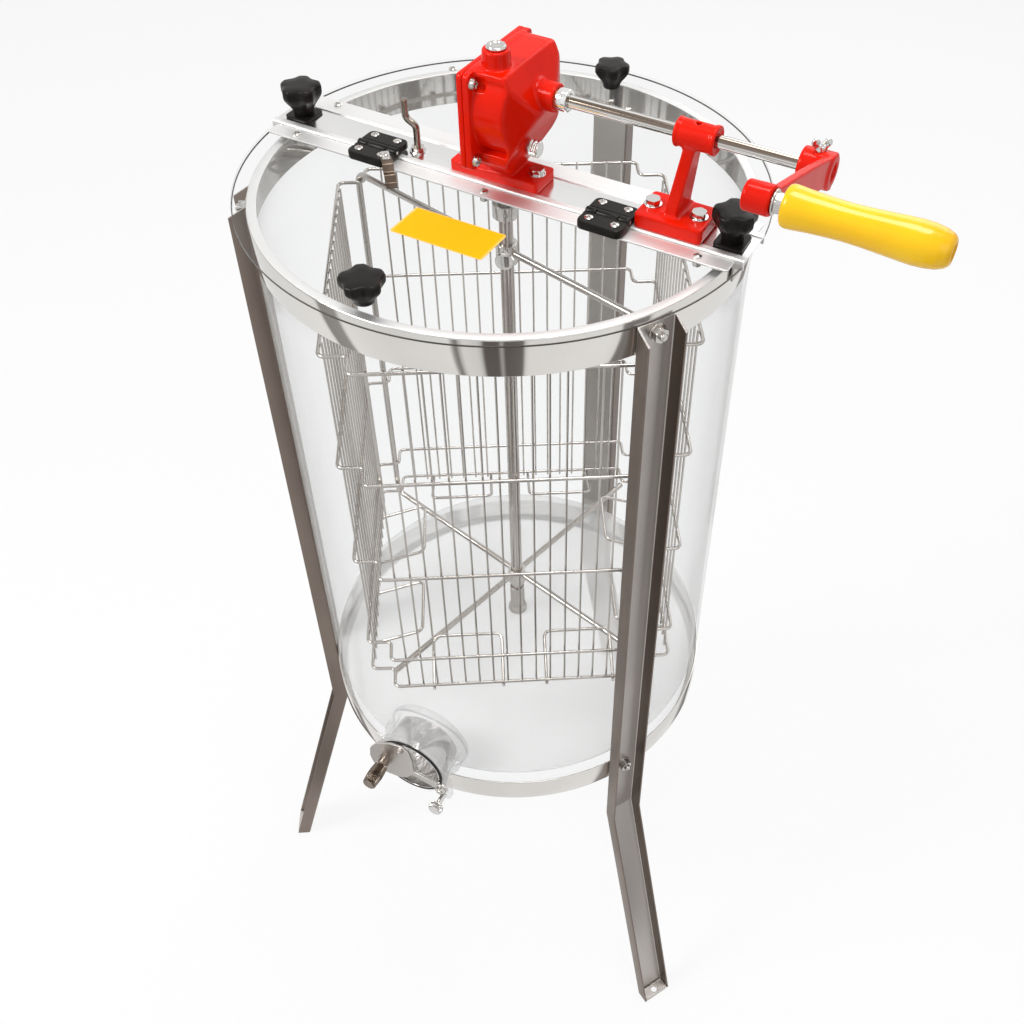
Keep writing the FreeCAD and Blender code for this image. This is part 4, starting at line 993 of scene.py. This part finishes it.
def make_bridge():
    """The channel with hemmed edges, its end clips and clamp knobs, and the stay rod."""
    side = [(24, 1206.5), (24, 1199.3), (26, 1199.3), (26, HEM_TOP), (18, HEM_TOP), (18, WEB_TOP)]
    left = [(-across, up) for across, up in reversed(side)]
    section = profile(side + left, [0.8, 0.6, 0.6, 1.6, 0.8, 0.6, 0.6, 0.8, 1.6, 0.6, 0.6, 0.8], True)
    line = np.linspace((-265, 0, 0), (265, 0, 0), 9)
    bridge = make_piece("bridge_channel", carried(line, section * (-1, 1), (0, 0, 1)), "bright_aluminium",
                        "stand", ["bridge"])
    second_finish(bridge, SATIN_RAIL, lambda middle: np.abs(middle[:, 1]) > 17.5)
    strip = rectangle((-1, -20), (1, 20), 0.4)
    clips = []
    for angle in (0, 180):
        line = bent([(232, 0, 1205.2), (253.6, 0, 1205.2), (253.6, 0, 1181)], 3.5)
        clips.append(put(carried(line, strip, (0, 1, 0)), (0, 0, 0), turn("z", angle)))
    make_piece("end_clips", together(*clips), "brushed_steel", "stand", ["bridge_end_clips"])
    pads = [put(block((-14.5, -14.5, 0), (14.5, 14.5, 3), 4, 0.6), (x, 0, WEB_TOP))
            for x in (-CLAMP_X, CLAMP_X)]
    make_piece("knob_pads", together(*pads), "black_plastic", "stand", ["clamp_pads"])
    stud = turned_solid([(4, -12), (4, 2), (0.4, 2)], 0.2, 20)
    for name, x in (("clamp_knob_left", -CLAMP_X), ("clamp_knob_right", CLAMP_X)):
        knob = put(lobed_head(21.5, 31, 10.5, stud), (x, 0, WEB_TOP + 3.3), turn("z", 8))
        make_piece(name + "_star", knob, "black_plastic", name, [name])
    foot, y = STAY_SPOT
    top = foot - 12
    rod = wire([(foot, y, 1202.5), (foot, y, 1235.5), (top, y, 1241.5), (top, y, 1260)], 7, 3.5, (0, 1, 0),
               sides=16, steps=8)
    cap = put(turned_solid([(3.5, 0), (3.2, 1), (TIP, 1.6)], 0.5, 16), (top, y, 1259.9))
    make_piece("stay_rod_bent", together(rod, cap), STAY_STEEL, "stay_rod", ["stay_rod"])
    nut = together(hexagon(7.2, 1, 5), tube(3.8, 8.5, 0, 1, 0.2, 32))
    make_piece("stay_rod_seat", put(nut, (foot, y, WEB_TOP)), "bright_fasteners", "stand", ["stay_rod_nut"])


# ------------------------------------------------------------------ gearbox

CASE_RIGHT = 32.5
CASE_BARREL = 55.0
FLANGE_HALF = 58.0
FLANGE_LOW = 1240.0
FLANGE_HIGH = 1334.0
FLANGE_RIGHT = 0.5
FLANGE_JOINT = -6.5
COVER_LEFT = -12.5
COVER_SCREWS = [(side * 51.5, z) for z in (1324.5, 1249.5) for side in (-1, 1)]
PLUG_TOP = 1350.0


def flange_field(p):
    """Distance to the joint flange: a rectangle with round corners, thin along X."""
    middle = (FLANGE_LOW + FLANGE_HIGH) / 2
    corner = 5.0
    aside = np.abs(p[..., 1]) - FLANGE_HALF + corner
    upright = np.abs(p[..., 2] - middle) - (FLANGE_HIGH - FLANGE_LOW) / 2 + corner
    flat = np.hypot(np.maximum(aside, 0), np.maximum(upright, 0)) - corner
    flat = flat + np.minimum(np.maximum(aside, upright), 0)
    thin = np.abs(p[..., 0] - (FLANGE_JOINT + FLANGE_RIGHT) / 2) - (FLANGE_RIGHT - FLANGE_JOINT) / 2
    return blend_many([flat, thin], 1.2)


def gear_case(p):
    """The gear case: a box tapered to a foot below, its sides swelling into a barrel whose middle is
    a little under the shaft's line, a hood with three slopes to the shaft boss on the right, a flat
    panel sunk in each side, and the bosses, all run together with fillets."""
    x, y, z = p[..., 0], p[..., 1], p[..., 2]
    aside = np.abs(y)
    barrel = np.hypot(y, z - BARREL_Z)
    walls = [(13, 1218.4), (45.5, 1246), (47.5, 1263), (47.5, 1330), (46, 1334)]
    walls += [(-across, up) for across, up in reversed(walls)]
    box = flat_shape(p, walls, (1, 2, 0), FLANGE_JOINT, CASE_RIGHT + 30, 1.6)
    panel = ball_box(np.stack([x, aside, z], axis=-1), (0.5, 20, 1256), (31, 75, 1327), 2)
    swell = blend_many([barrel - CASE_BARREL, z - FLANGE_HIGH, 1250 - z, FLANGE_JOINT - x,
                        x - CASE_RIGHT - 30], 1.6)
    case = joined(carved(box, panel, 2), swell, 2)
    under = flat_shape(p, [(FLANGE_JOINT, 1209), (12, 1209), (62, 1309), (62, 1340), (FLANGE_JOINT, 1340)],
                       (0, 2, 1), -65, 65, 1.2)
    steep, flat = math.sin(math.radians(66)), math.cos(math.radians(66))
    hood = [(x - CASE_RIGHT) * steep + (reach - 46.5) * flat
            for reach in (aside - 8, z - AXIS_Z + 18.5, AXIS_Z - z - 6.5)]
    case = blend_many([case, under] + hood, 3)
    for across, up in COVER_SCREWS:
        case = carved(case, round_bar(p, (FLANGE_RIGHT, across, up), (12, across, up), 6.8, 1.5), 1.2)
    foot = slab_field(p, (-51, -18.5, WEB_TOP), (46.5, 18.5, 1220), 3)
    flange = flange_field(p)
    boss = round_bar(p, (24, 0, AXIS_Z), (60.3, 0, AXIS_Z), 13.5, 1.2)
    plug = round_bar(p, (*PLUG_SPOT, 1325), (*PLUG_SPOT, PLUG_TOP), 14, 1.4, 12.9)
    side = round_bar(p, (20, *SIDE_SCREW_SPOT), (42, *SIDE_SCREW_SPOT), 8, 1)
    shape = joined(case, foot, 3)
    shape = joined(shape, flange, 2)
    for part, fillet in ((boss, 3.5), (plug, 3), (side, 3)):
        shape = joined(shape, part, fillet)
    shape = carved(shape, round_bar(p, (34, 0, AXIS_Z), (70, 0, AXIS_Z), 9, 0), 0.5)
    return carved(shape, round_bar(p, (*PLUG_SPOT, PLUG_TOP - 9), (*PLUG_SPOT, 1370), 8, 0), 0.5)


def slab_field(p, low, high, corner):
    """Distance to a plate with round upright edges and slightly eased faces."""
    middle = (np.array(low) + np.array(high)) / 2
    half = (np.array(high) - np.array(low)) / 2
    gap = np.abs(p - middle) - half
    aside = gap[..., :2] + corner
    flat = np.linalg.norm(np.maximum(aside, 0), axis=-1) - corner
    flat = flat + np.minimum(aside.max(axis=-1), 0)
    return blend_many([flat, gap[..., 2]], 1.4)


def make_gearbox():
    """The case and its cover, with their screws and bolts, the oil plug, the side screw and the bush."""
    make_piece("gear_case", casting(gear_case, (-54, -61, 1205), (63, 61, 1356), 1.15), "painted_red",
               "stand", ["gearbox_housing"], sharp=60)
    outline = [(FLANGE_HALF, FLANGE_LOW), (FLANGE_HALF, FLANGE_HIGH), (-FLANGE_HALF, FLANGE_HIGH),
               (-FLANGE_HALF, FLANGE_LOW)]
    plate = slab(profile(outline, 5, True, 8), COVER_LEFT, FLANGE_JOINT - 0.1, 1.4)
    make_piece("gear_case_cover", put(plate, (0, 0, 0), ACROSS_X), "painted_red", "stand",
               ["gearbox_cover"])
    heads = []
    for across, up in COVER_SCREWS:
        washer = pin(5.7, 0, 1, 0.3, 32)
        heads.append(put(together(washer, put(screw_head(5.3, 3.8), (0, 0, 1))),
                         (FLANGE_RIGHT + 0.05, across, up), TO_X))
    make_piece("cover_screw_heads", together(*heads), "bright_fasteners", "stand", ["cover_screws"])
    bolts = []
    for x, seat, spin in ((-41, 1220, 10), (37, 1220, 25), (161, 1224, 0), (208, 1224, 40)):
        bolt = together(pin(8.8, 0, 1.3, 0.4, 40), hexagon(7.6, 1.3, 6.2), pin(4, -11, 0))
        bolts.append(put(bolt, (x, 0, seat), turn("z", spin)))
    make_piece("base_bolt_set", together(*bolts), "chrome_parts", "stand", ["bridge_bolts"])
    plug = [(7.9, -8), (7.9, 0), (9.2, 0.2), (9.5, 1.8), (8.6, 3.4), (5.5, 3.8), (5, 2.8), (TIP, 2.6)]
    make_piece("oil_plug_cap", put(turned_solid(plug, 0.6), (*PLUG_SPOT, PLUG_TOP)), "chrome_parts", "stand",
               ["oil_plug"])
    knob = together(knurled(8, 0, 10, 26, 0.45, 4), pin(3.5, -3, 0.2, 0.1))
    make_piece("side_screw_knurled", put(knob, (45, *SIDE_SCREW_SPOT), TO_X), "chrome_parts", "side_screw",
               ["gearbox_side_screw"])
    make_piece("case_bush", put(tube(SHAFT_BORE, 8.95, 34, 60.6, 0.4), (0, 0, AXIS_Z), TO_X), "bronze_bush",
               "stand", ["gearbox_bush"])


def stand_casting(p):
    """The outer bearing: a foot plate, a flat post that narrows as it rises and leans outward, and the
    shaft boss with a raised lip at each end and an oil hole on top."""
    x, y, z = p[..., 0], p[..., 1], p[..., 2]
    rise = np.clip((z - 1224) / 70, -0.2, 1.2)
    foot = slab_field(p, (152, -23, HEM_TOP), (220, 23, 1224), 4)
    post = blend_many([np.abs(x - 184 - 11.5 * rise) - (6.2 - 0.4 * rise),
                       np.abs(y - 4 + 3.5 * rise) - (17.5 - 8 * rise), 1215 - z, z - 1305], 2.2)
    shape = joined(post, foot, 5)
    shape = joined(shape, round_bar(p, (180, 0, AXIS_Z), (219, 0, AXIS_Z), 12.5, 1.2), 4)
    for start, end in ((180, 183.4), (214.5, 219)):
        shape = joined(shape, round_bar(p, (start, 0, AXIS_Z), (end, 0, AXIS_Z), 13.4, 0.8), 0.8)
    shape = carved(shape, round_bar(p, (175, 0, AXIS_Z), (181.2, 0, AXIS_Z), 10, 0), 0.6)
    shape = carved(shape, round_bar(p, (217.8, 0, AXIS_Z), (225, 0, AXIS_Z), 10, 0), 0.6)
    shape = carved(shape, round_bar(p, (199.5, 0, 1309), (199.5, 0, 1325), 2.8, 0), 0.8)
    return carved(shape, round_bar(p, (170, 0, AXIS_Z), (230, 0, AXIS_Z), 6.3, 0), 0.4)


def make_bearing_stand():
    """The red casting that carries the shaft's outer end."""
    make_piece("outer_bearing_stand", casting(stand_casting, (148, -27, 1206), (224, 27, 1322), 1.1),
               "painted_red", "stand", ["bearing_stand"], sharp=60)


# ------------------------------------------------------------------ crank

def arm_field(p):
    """The crank arm lying along +Y from the shaft at the origin: hub, knuckle and a flat blade."""
    hub = round_bar(p, (295, 0, 0), (324, 0, 0), 16, 1.8)
    knuckle = round_bar(p, (300, CRANK_REACH, 0), (322, CRANK_REACH, 0), 12, 1.8)
    blade = flat_shape(p, [(0, -15.5), (60, -12.6), (158, -12.6), (158, 12.6), (60, 12.6), (0, 15.5)],
                       (1, 2, 0), 315, 323, 1.8)
    shape = joined(joined(hub, knuckle, 3), blade, 6)
    shape = carved(shape, round_bar(p, (321, 0, 0), (330, 0, 0), 8.5, 0), 1.2)
    return carved(shape, round_bar(p, (290, 0, 0), (330, 0, 0), SHAFT_BORE, 0), 0.4)


def make_crank():
    """The drive shaft with its collar, the arm, the handle's spindle and nut, the grip and the wing
    screw."""
    shaft = turned_solid([(SHAFT, -9), (SHAFT, 319), (5.2, 320), (TIP, 320)], 0.4, 40)
    # The drive shaft's light and dark streaks are painted reflection.
    make_piece("drive_shaft", put(shaft, (0, 0, AXIS_Z), TO_X), ROD_PAINTED_REFLECTION, "crank", ["crank_shaft"])
    collar = tube(SHAFT, 10.5, 61, 72, 0.8, 56)
    grub = put(turned_solid([(2.8, 0), (2.8, 1.2), (1.4, 1.2), (1.2, 0.2), (0.2, 0.2)], 0.2, 24),
               (66.5, -6.2, 7.9), turn("x", 38))
    collar = together(put(collar, (0, 0, 0), TO_X), grub)
    make_piece("drive_collar", put(collar, (0, 0, AXIS_Z)), "bright_aluminium", "crank", ["shaft_collar"])
    arm = casting(arm_field, (291, -20, -20), (328, 178, 20), 1.15)
    make_piece("arm_casting", put(arm, (0, 0, AXIS_Z), turn("x", CRANK_TURN)), "painted_red", "crank",
               ["crank_arm"], sharp=60)
    spindle = together(pin(4.97, 300, 438, 0.2, 32), hexagon(7.6, 440, 444),
                       pin(8.2, 438.6, 440, 0.2, 32))
    spot = (0, SPINDLE_Y, SPINDLE_Z)
    make_piece("handle_rod", put(spindle, spot, TO_X), "bright_fasteners", "crank", ["handle_spindle"])
    nut = together(hexagon(9, 324.2, 330.6), tube(5, 10, 323.1, 324.3, 0.2, 40))
    make_piece("handle_nut", put(nut, spot, TO_X), "bright_fasteners", "crank", ["spindle_nut"])
    line = [(5.3, 0.4), (13.4, 0.2), (15.4, 1.2), (16.3, 3.6), (16.4, 7), (15.9, 13), (15.1, 22),
            (14.5, 34), (14.1, 48), (14.5, 62), (15.3, 76), (16.2, 90), (16.6, 100), (16.2, 109),
            (14.9, 117), (12.6, 122.8), (10, 125.6), (8.2, 126.2), (7.6, 125), (7.6, 116), (TIP, 115.6)]
    grip = lathe(bent(line, 6, False, 4)[:, :2], 72)
    make_piece("grip_turned", put(grip, (331, SPINDLE_Y, SPINDLE_Z), TO_X), "yellow_plastic", "handle",
               ["handle_grip"])
    make_piece("wing_screw_cast", put(casting(wing_casting, (-12.5, -6, -1), (12.5, 6, 23), 0.6),
                                      (310, 0, AXIS_Z + 7.5), turn("z", 35)), "chrome_parts",
               "wing_screw", ["wing_screw"], sharp=60)


def wing_casting(p):
    """A wing screw: shank, round hub and two flat wings that rise from it."""
    aside = np.stack([np.abs(p[..., 0]), p[..., 1], p[..., 2]], axis=-1)
    wings = round_bar(aside, (5.2, -1.4, 16), (5.2, 1.4, 16), 3.8, 1.0)
    tie = ball_box(aside, (0, -1.4, 9.5), (5.6, 1.4, 16), 1.0)
    hub = round_bar(p, (0, 0, 8.2), (0, 0, 14), 4.4, 0.8, 3.4)
    shank = round_bar(p, (0, 0, 0), (0, 0, 10), 2.9, 0.3)
    return joined(joined(joined(wings, tie, 2), hub, 2), shank, 0.4)


# ------------------------------------------------------------------ lids

ARC_POINTS = 120


def half_disc(side):
    """A half lid's outline: the arc from one end of the straight edge to the other, then the edge."""
    start = math.asin(LID_EDGE / LID_REACH)
    angle = np.linspace(start, np.pi - start, ARC_POINTS)
    return np.stack([LID_REACH * np.cos(angle), side * LID_REACH * np.sin(angle)], axis=1)


def make_lids():
    """Both half lids with their strips, screws, painted edge shade and knobs, and what the front one
    carries.
    """
    rails = {"front": -1, "back": 1}
    for name, side in rails.items():
        body = name + "_lid"
        make_piece("lid_plate_" + name, slab(half_disc(side), LID_LOW, LID_TOP, 0.7), "clear_acrylic",
                   body, ["lid_" + name])
        low, high = sorted((side * LID_EDGE, side * STRIP_EDGE))
        strip = block((-257, low, LID_TOP), (257, high, RAIL_TOP), 2.5, 0.5)
        screws = []
        for x in (-226, -2, 224):
            screw = together(screw_head(4.2, 2.6), hexagon(4.4, -9.2, -5.1), pin(2, -10.5, 0.1, 0.1, 16))
            screws.append(put(screw, (x, side * 36, RAIL_TOP)))
        # A thin dark ring just inside each lid's outer edge, at its underside: painted shade.
        rim = np.column_stack([half_disc(side) * (264.4 / LID_REACH), np.full(ARC_POINTS, LID_LOW + 0.75)])
        line = carried(rim, rectangle((-0.5, -0.7), (0.5, 0.7), 0.2), (0, 0, 1))
        make_piece("lid_edge_" + name, line, EDGE_SHADE_LINE, body)
        make_piece("edge_strip_" + name, strip, SATIN_RAIL, body, ["lid_%s_rail" % name])
        make_piece("strip_screws_" + name, together(*screws), "bright_fasteners", body)
    stud = pin(3, -0.02, 1, 0.1, 16)
    front = put(lobed_head(21, 25, 9.5, stud), (-2, -236, LID_TOP + 0.05), turn("z", 20))
    make_piece("front_lid_star", front, "black_plastic", "front_lid", ["lid_front_knob"])
    back = put(lobed_head(19, 26, 9.5, stud), (6, 222, LID_TOP + 0.05), turn("z", 50))
    make_piece("back_lid_star", back, "black_plastic", "back_lid", ["lid_back_knob"])
    make_piece("back_lid_screw", put(screw_head(4.4, 2.8), (-166, 169, LID_TOP)), "bright_fasteners",
               "back_lid")
    make_hinges()
    make_label()
    make_spring_clip()


def make_hinges():
    """Two hinges: a leaf on the bridge, a leaf on the lid, three barrel parts, a pin and four screws."""
    axis_y, axis_z = -26.0, 1214.5
    fixed, moving, pins, fixed_screws, moving_screws = [], [], [], [], []
    for x in (-131, 128):
        leaf = slab(rectangle((-23, 3.6), (23, 22.6), [1, 1, 6, 6]), HEM_TOP + 0.05, 1217.6, 1.4)
        fixed.append(put(leaf, (x, axis_y, 0)))
        leaf = slab(rectangle((-23, -23.6), (23, -4.8), [6, 6, 1, 1]), RAIL_TOP + 0.05, 1217.0, 1.4)
        moving.append(put(leaf, (x, axis_y, 0)))
        for start, end, group in ((-23, -11.8, fixed), (-11.5, 11.1, moving), (11.4, 23, fixed)):
            group.append(put(tube(1.65, 4.3, start, end, 0.7, 32), (x, axis_y, axis_z), TO_X))
            toward = 1 if group is fixed else -1
            low, high = sorted((toward * 2.2, toward * 5.2))
            group.append(block((x + start + 0.2, axis_y + low, 1212.8), (x + end - 0.2, axis_y + high,
                                                                         1216.9), 0.4, 0.4))
        pins.append(put(pin(1.6, -23.2, 23.2), (x, axis_y, axis_z), TO_X))
        for across in (-13.5, 13.5):
            fixed_screws.append(put(screw_head(4.3, 1.9), (x + across, axis_y + 14.6, 1217.5),
                                    turn("z", 30 + across)))
            moving_screws.append(put(screw_head(4.3, 1.9), (x + across, axis_y - 14.2, 1216.9),
                                     turn("z", 60 - across)))
    make_piece("hinge_leaves_bridge", together(*fixed), "black_plastic", "stand",
               ["hinge_fixed_leaves"])
    make_piece("hinge_leaves_lid", together(*moving), "black_plastic", "front_lid",
               ["hinge_moving_leaves"])
    make_piece("hinge_pin_pair", together(*pins), "bright_fasteners", "stand", ["hinge_pins"])
    make_piece("hinge_screws_bridge", together(*fixed_screws), "bright_fasteners", "stand")
    make_piece("hinge_screws_lid", together(*moving_screws), "bright_fasteners", "front_lid")


def make_label():
    """A plain sticker: one thin plate whose map runs from 0 to 1 over its face."""
    low = np.array([-45.0, -135.0])
    high = np.array([55.0, -88.5])
    plate = slab(rectangle(low, high, 3), LID_TOP + 0.02, LID_TOP + 0.25, 0.05)
    label = make_piece("lid_sticker", plate, YELLOW_LABEL, "front_lid")
    mesh = label.data
    spots = np.zeros(len(mesh.vertices) * 3, np.float32)
    mesh.vertices.foreach_get("co", spots)
    spots = spots.reshape(-1, 3)[:, :2] / MM
    owner = np.zeros(len(mesh.loops), np.int32)
    mesh.loops.foreach_get("vertex_index", owner)
    chart = mesh.uv_layers.new(name="face")
    chart.data.foreach_set("uv", ((spots[owner] - low) / (high - low)).astype(np.float32).ravel())


def make_spring_clip():
    """A bent strip of spring steel held under a hinge screw, with a bright tab at its fixed end."""
    strip = rectangle((-0.5, -5.5), (0.5, 5.5), 0.3)
    place = (-112, -40.5, 1217.2)
    matrix = turn("z", -49)
    line = bent([(2, 0, 0.7), (10, 0, 0.7), (15, 0, 5), (22, 0, 3), (25, 0, -4), (32, 0, -2),
                 (37, 0, -9), (47, 0, -8)], 2.5)
    make_piece("lid_spring_clip", put(carried(line, strip, (0, 1, 0)), place, matrix), SPRING_STEEL,
               "front_lid")
    tab = block((-6, -4, 1.3), (10, 4, 2.5), 1.5, 0.3)
    screw = put(screw_head(3, 1.6), (1, 0, 2.4))
    make_piece("lid_clip_tab", put(together(tab, screw), place, matrix), "bright_fasteners", "front_lid")


# ------------------------------------------------------------------ drain gate

def at_gate(form, spot=(0, 0, 0)):
    """A form that stands along +Z, moved to a spot of the outlet and laid along the outlet's axis."""
    return put(put(form, spot), GATE_PLACE, GATE_WAY)


def make_gate():
    """The outlet tube with its seal and liner, and the blade, handle, pivot and screw of the gate."""
    start, end = 238.0, GATE_FACE
    outlet = turned_ring([(GATE_BORE, start), (GATE_OUTER, start), (GATE_OUTER, 262), (47.2, 263.5),
                          (47.2, 281), (49.5, 282), (49.5, end), (GATE_MOUTH, end), (GATE_MOUTH, 279),
                          (GATE_BORE, 277)], [0.8, 0.8, 2, 2, 1, 1, 1, 0.8, 1, 1], 96)
    lug = block((36, -46, end - 9), (52, -8, end), 4, 0.8)
    make_piece("outlet_tube_clear", at_gate(together(outlet, lug)), OUTLET_CLEAR, "stand",
               ["outlet_tube"])
    seal = tube(GATE_MOUTH, GATE_MOUTH + 3, end + 0.05, 291, 1.2, 96)
    make_piece("outlet_seal", at_gate(seal), "black_rubber", "stand", ["gate_seal"])
    liner = tube(GATE_MOUTH - 1.4, GATE_MOUTH - 0.1, 246, 290.6, 0.4, 96)
    make_piece("outlet_liner", at_gate(liner), "chrome_parts", "stand")
    disc = [(-56, -8), (-54, 10), (-44, 25), (-22, 39), (-6, 42), (4, 34), (7, 18), (6, -4), (38, -7),
            (53, -6), (53, -21), (41, -22), (8, -13), (2, -15), (-4, -24), (-16, -31), (-36, -32),
            (-52, -24)]
    plate = slab(profile(disc, [14, 14, 14, 16, 8, 8, 8, 4, 8, 7, 7, 8, 8, 4, 8, 12, 14, 14], True, 6),
                 291.35, 294.3, 0.6)
    stop = put(together(hexagon(4.6, 0, 3.4), pin(2.4, 3, 5.4, 0.3, 16)), (-8, 34, 294.25))
    blade = make_piece("gate_plate", at_gate(together(plate, stop)), "brushed_steel", "gate_blade",
                       ["gate_blade"])
    second_finish(blade, FINISHES["chrome_parts"],
                  lambda middle: (middle - np.array(GATE_PLACE)) @ GATE_WAY[:, 0] > 6.0)
    rod = together(knurled(9.5, 299.5, 330.3, 14, 1.2, 5), pin(7, 294.3, 299.8, 0.5, 40))
    make_piece("gate_grip", at_gate(rod, (-36, -10, 0)), STAY_STEEL, "gate_blade", ["gate_handle"])
    bolt = together(hexagon(6.8, 295.2, 299.5), pin(7.4, 294.4, 295.3, 0.2, 32), pin(3, 291, 301, 0.3))
    make_piece("gate_pivot", at_gate(bolt, (45, -14, 0)), "bright_fasteners", "stand", ["gate_pivot_bolt"])
    thumb = together(pin(3.5, 288.2, 305.2, 0.2, 24), knurled(9.5, 305, 314, 16, 1.0, 2))
    make_piece("gate_lock_screw", at_gate(thumb, (44, -37, 0)), "chrome_parts", "gate_thumb_screw",
               ["gate_thumb_screw"])


# ------------------------------------------------------------------ cage

def cage_ring(height):
    """A ring's corners: along each side, then in and out round the square notch at its end."""
    corners = []
    for side in range(4):
        angle = math.radians(90 * side)
        for out, along in ((CAGE_SIDE, -CAGE_NOTCH), (CAGE_SIDE, CAGE_NOTCH), (CAGE_NOTCH, CAGE_NOTCH)):
            corners.append((out * math.cos(angle) - along * math.sin(angle),
                            out * math.sin(angle) + along * math.cos(angle), height))
    return corners


def make_cage():
    """Rings, four screens of upright wires, spokes and posts, frame rests, shaft, hubs and screw."""
    spin = turn("z", CAGE_TURN)
    ring_bend = 7
    rings = [wire(cage_ring(height), ring_bend, RING_WIRE, (0, 0, 1), closed=True)
             for height in RING_HEIGHTS]
    make_piece("cage_ring_set", put(together(*rings), (0, 0, 0), spin), "wire_steel", "cage",
               ["cage_rings"])
    inner = CAGE_SIDE - RING_WIRE - 1.3
    for side in range(4):
        wires = []
        for across in np.linspace(-138, 138, 17):
            line = [(inner, across, 620), (inner, across, 800), (inner, across, 1115.5)]
            wires.append(carried(line, circle(SCREEN_WIRE, 6), (0, 1, 0)))
        matrix = spin @ turn("z", 90 * side)
        make_piece("cage_wires_%d" % (side + 1), put(together(*wires), (0, 0, 0), matrix), "wire_steel",
                   "cage", ["cage_screen_%d" % (side + 1)])
    reach = CAGE_NOTCH * math.sqrt(2) + ring_bend * (math.sqrt(2) - 1) + 5.8
    rods = []
    for corner in range(4):
        if corner % 2:
            line = [(11.2, 0, TOP_SPOKE_Z), (reach, 0, TOP_SPOKE_Z), (reach, 0, CROSS_Z), (11.2, 0, CROSS_Z)]
            rod = wire(line, 12, SPOKE_ROD, (0, 1, 0), sides=14, steps=8)
        else:
            rod = carried([(11.2, 0, CROSS_Z), (220, 0, CROSS_Z)], circle(SPOKE_ROD, 14), (0, 1, 0))
        rods.append(put(rod, (0, 0, 0), turn("z", 45 + 90 * corner)))
    make_piece("cage_rod_set", put(together(*rods), (0, 0, 0), spin), "wire_steel", "cage",
               ["cage_spokes", "cage_corner_posts"])
    rests = []
    low = RING_HEIGHTS[-1] - 5.6
    out, inside, rise = 187.3, 122, 22
    normal = np.cross((inside - out, 0, rise), (0, 1, 0))
    for left, right in ((-108, -23), (30, 112)):
        corners = [(out, left, low), (inside, left, low + rise), (inside, right, low + rise),
                   (out, right, low)]
        rests.append(wire(corners, 8, RING_WIRE, normal / np.linalg.norm(normal)))
    frames = [put(form, (0, 0, 0), spin @ turn("z", 90 * side)) for side in range(4) for form in rests]
    make_piece("frame_rest_set", together(*frames), "wire_steel", "cage", ["frame_rests"])
    shaft = turned_solid([(CAGE_SHAFT, 553), (CAGE_SHAFT, 1266), (4, 1267), (4, 1288), (TIP, 1288)], 0.4,
                         40)
    # The cage shaft's light and dark streaks are painted reflection.
    make_piece("main_shaft", shaft, SHAFT_PAINTED_REFLECTION, "cage", ["cage_shaft"])
    coupling = together(tube(CAGE_SHAFT, 13.5, 1162, 1178, 1),
                        put(turned_solid([(2.6, 0), (2.6, 1), (TIP, 0.6)], 0.2, 20),
                            (6.9, -11.5, 1170), turn("z", 31) @ TO_FRONT))
    make_piece("shaft_sleeve", coupling, "bright_fasteners", "cage", ["shaft_coupling"])
    hub = tube(CAGE_SHAFT, 11.5, 0, 24, 0.8, 40)
    make_piece("cage_hub_pair", together(put(hub, (0, 0, 1107)), put(hub, (0, 0, 600))),
               "bright_fasteners", "cage", ["cage_hubs"])
    screw = together(pin(3, 11.55, 25.2), knurled(10, 25, 30, 34, 0.4, 2, 0.8))
    make_piece("cage_lock_screw", put(put(screw, (0, 0, 0), TO_X), (0, 0, 1126), turn("z", -64)),
               "chrome_parts", "cage_thumb_screw", ["cage_thumb_screw"])


# ------------------------------------------------------------------ whole

KEPT_NODES = {"drum_floor": "pale_floor", "crank_gear": "gear_steel", "cage_pinion": "gear_steel"}


def finish_kept_nodes():
    """Gives each construction node that stays its finish, in place of the plain one."""
    for name, finish in KEPT_NODES.items():
        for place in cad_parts[name].material_slots:
            place.material = FINISHES[finish]


make_camera()
make_lamp("key_lamp", (-1.9, -2.0, 3.4), (0, 0, 1.0), 1.3, 78)
make_lamp("fill_lamp", (2.6, -1.4, 2.6), (0, 0, 0.8), 2.2, 18)
make_lamp("back_lamp", (0.4, 2.8, 2.8), (0, 0, 1.0), 2.0, 24)
make_lamp("top_lamp", (0.1, 0.2, 3.6), (0, 0, 0.5), 1.0, 30)
make_stage()
make_drum()
make_legs()
make_bridge()
make_gearbox()
make_bearing_stand()
make_crank()
make_lids()
make_gate()
make_cage()
finish_kept_nodes()

bpy.context.scene.view_settings.view_transform = "Standard"
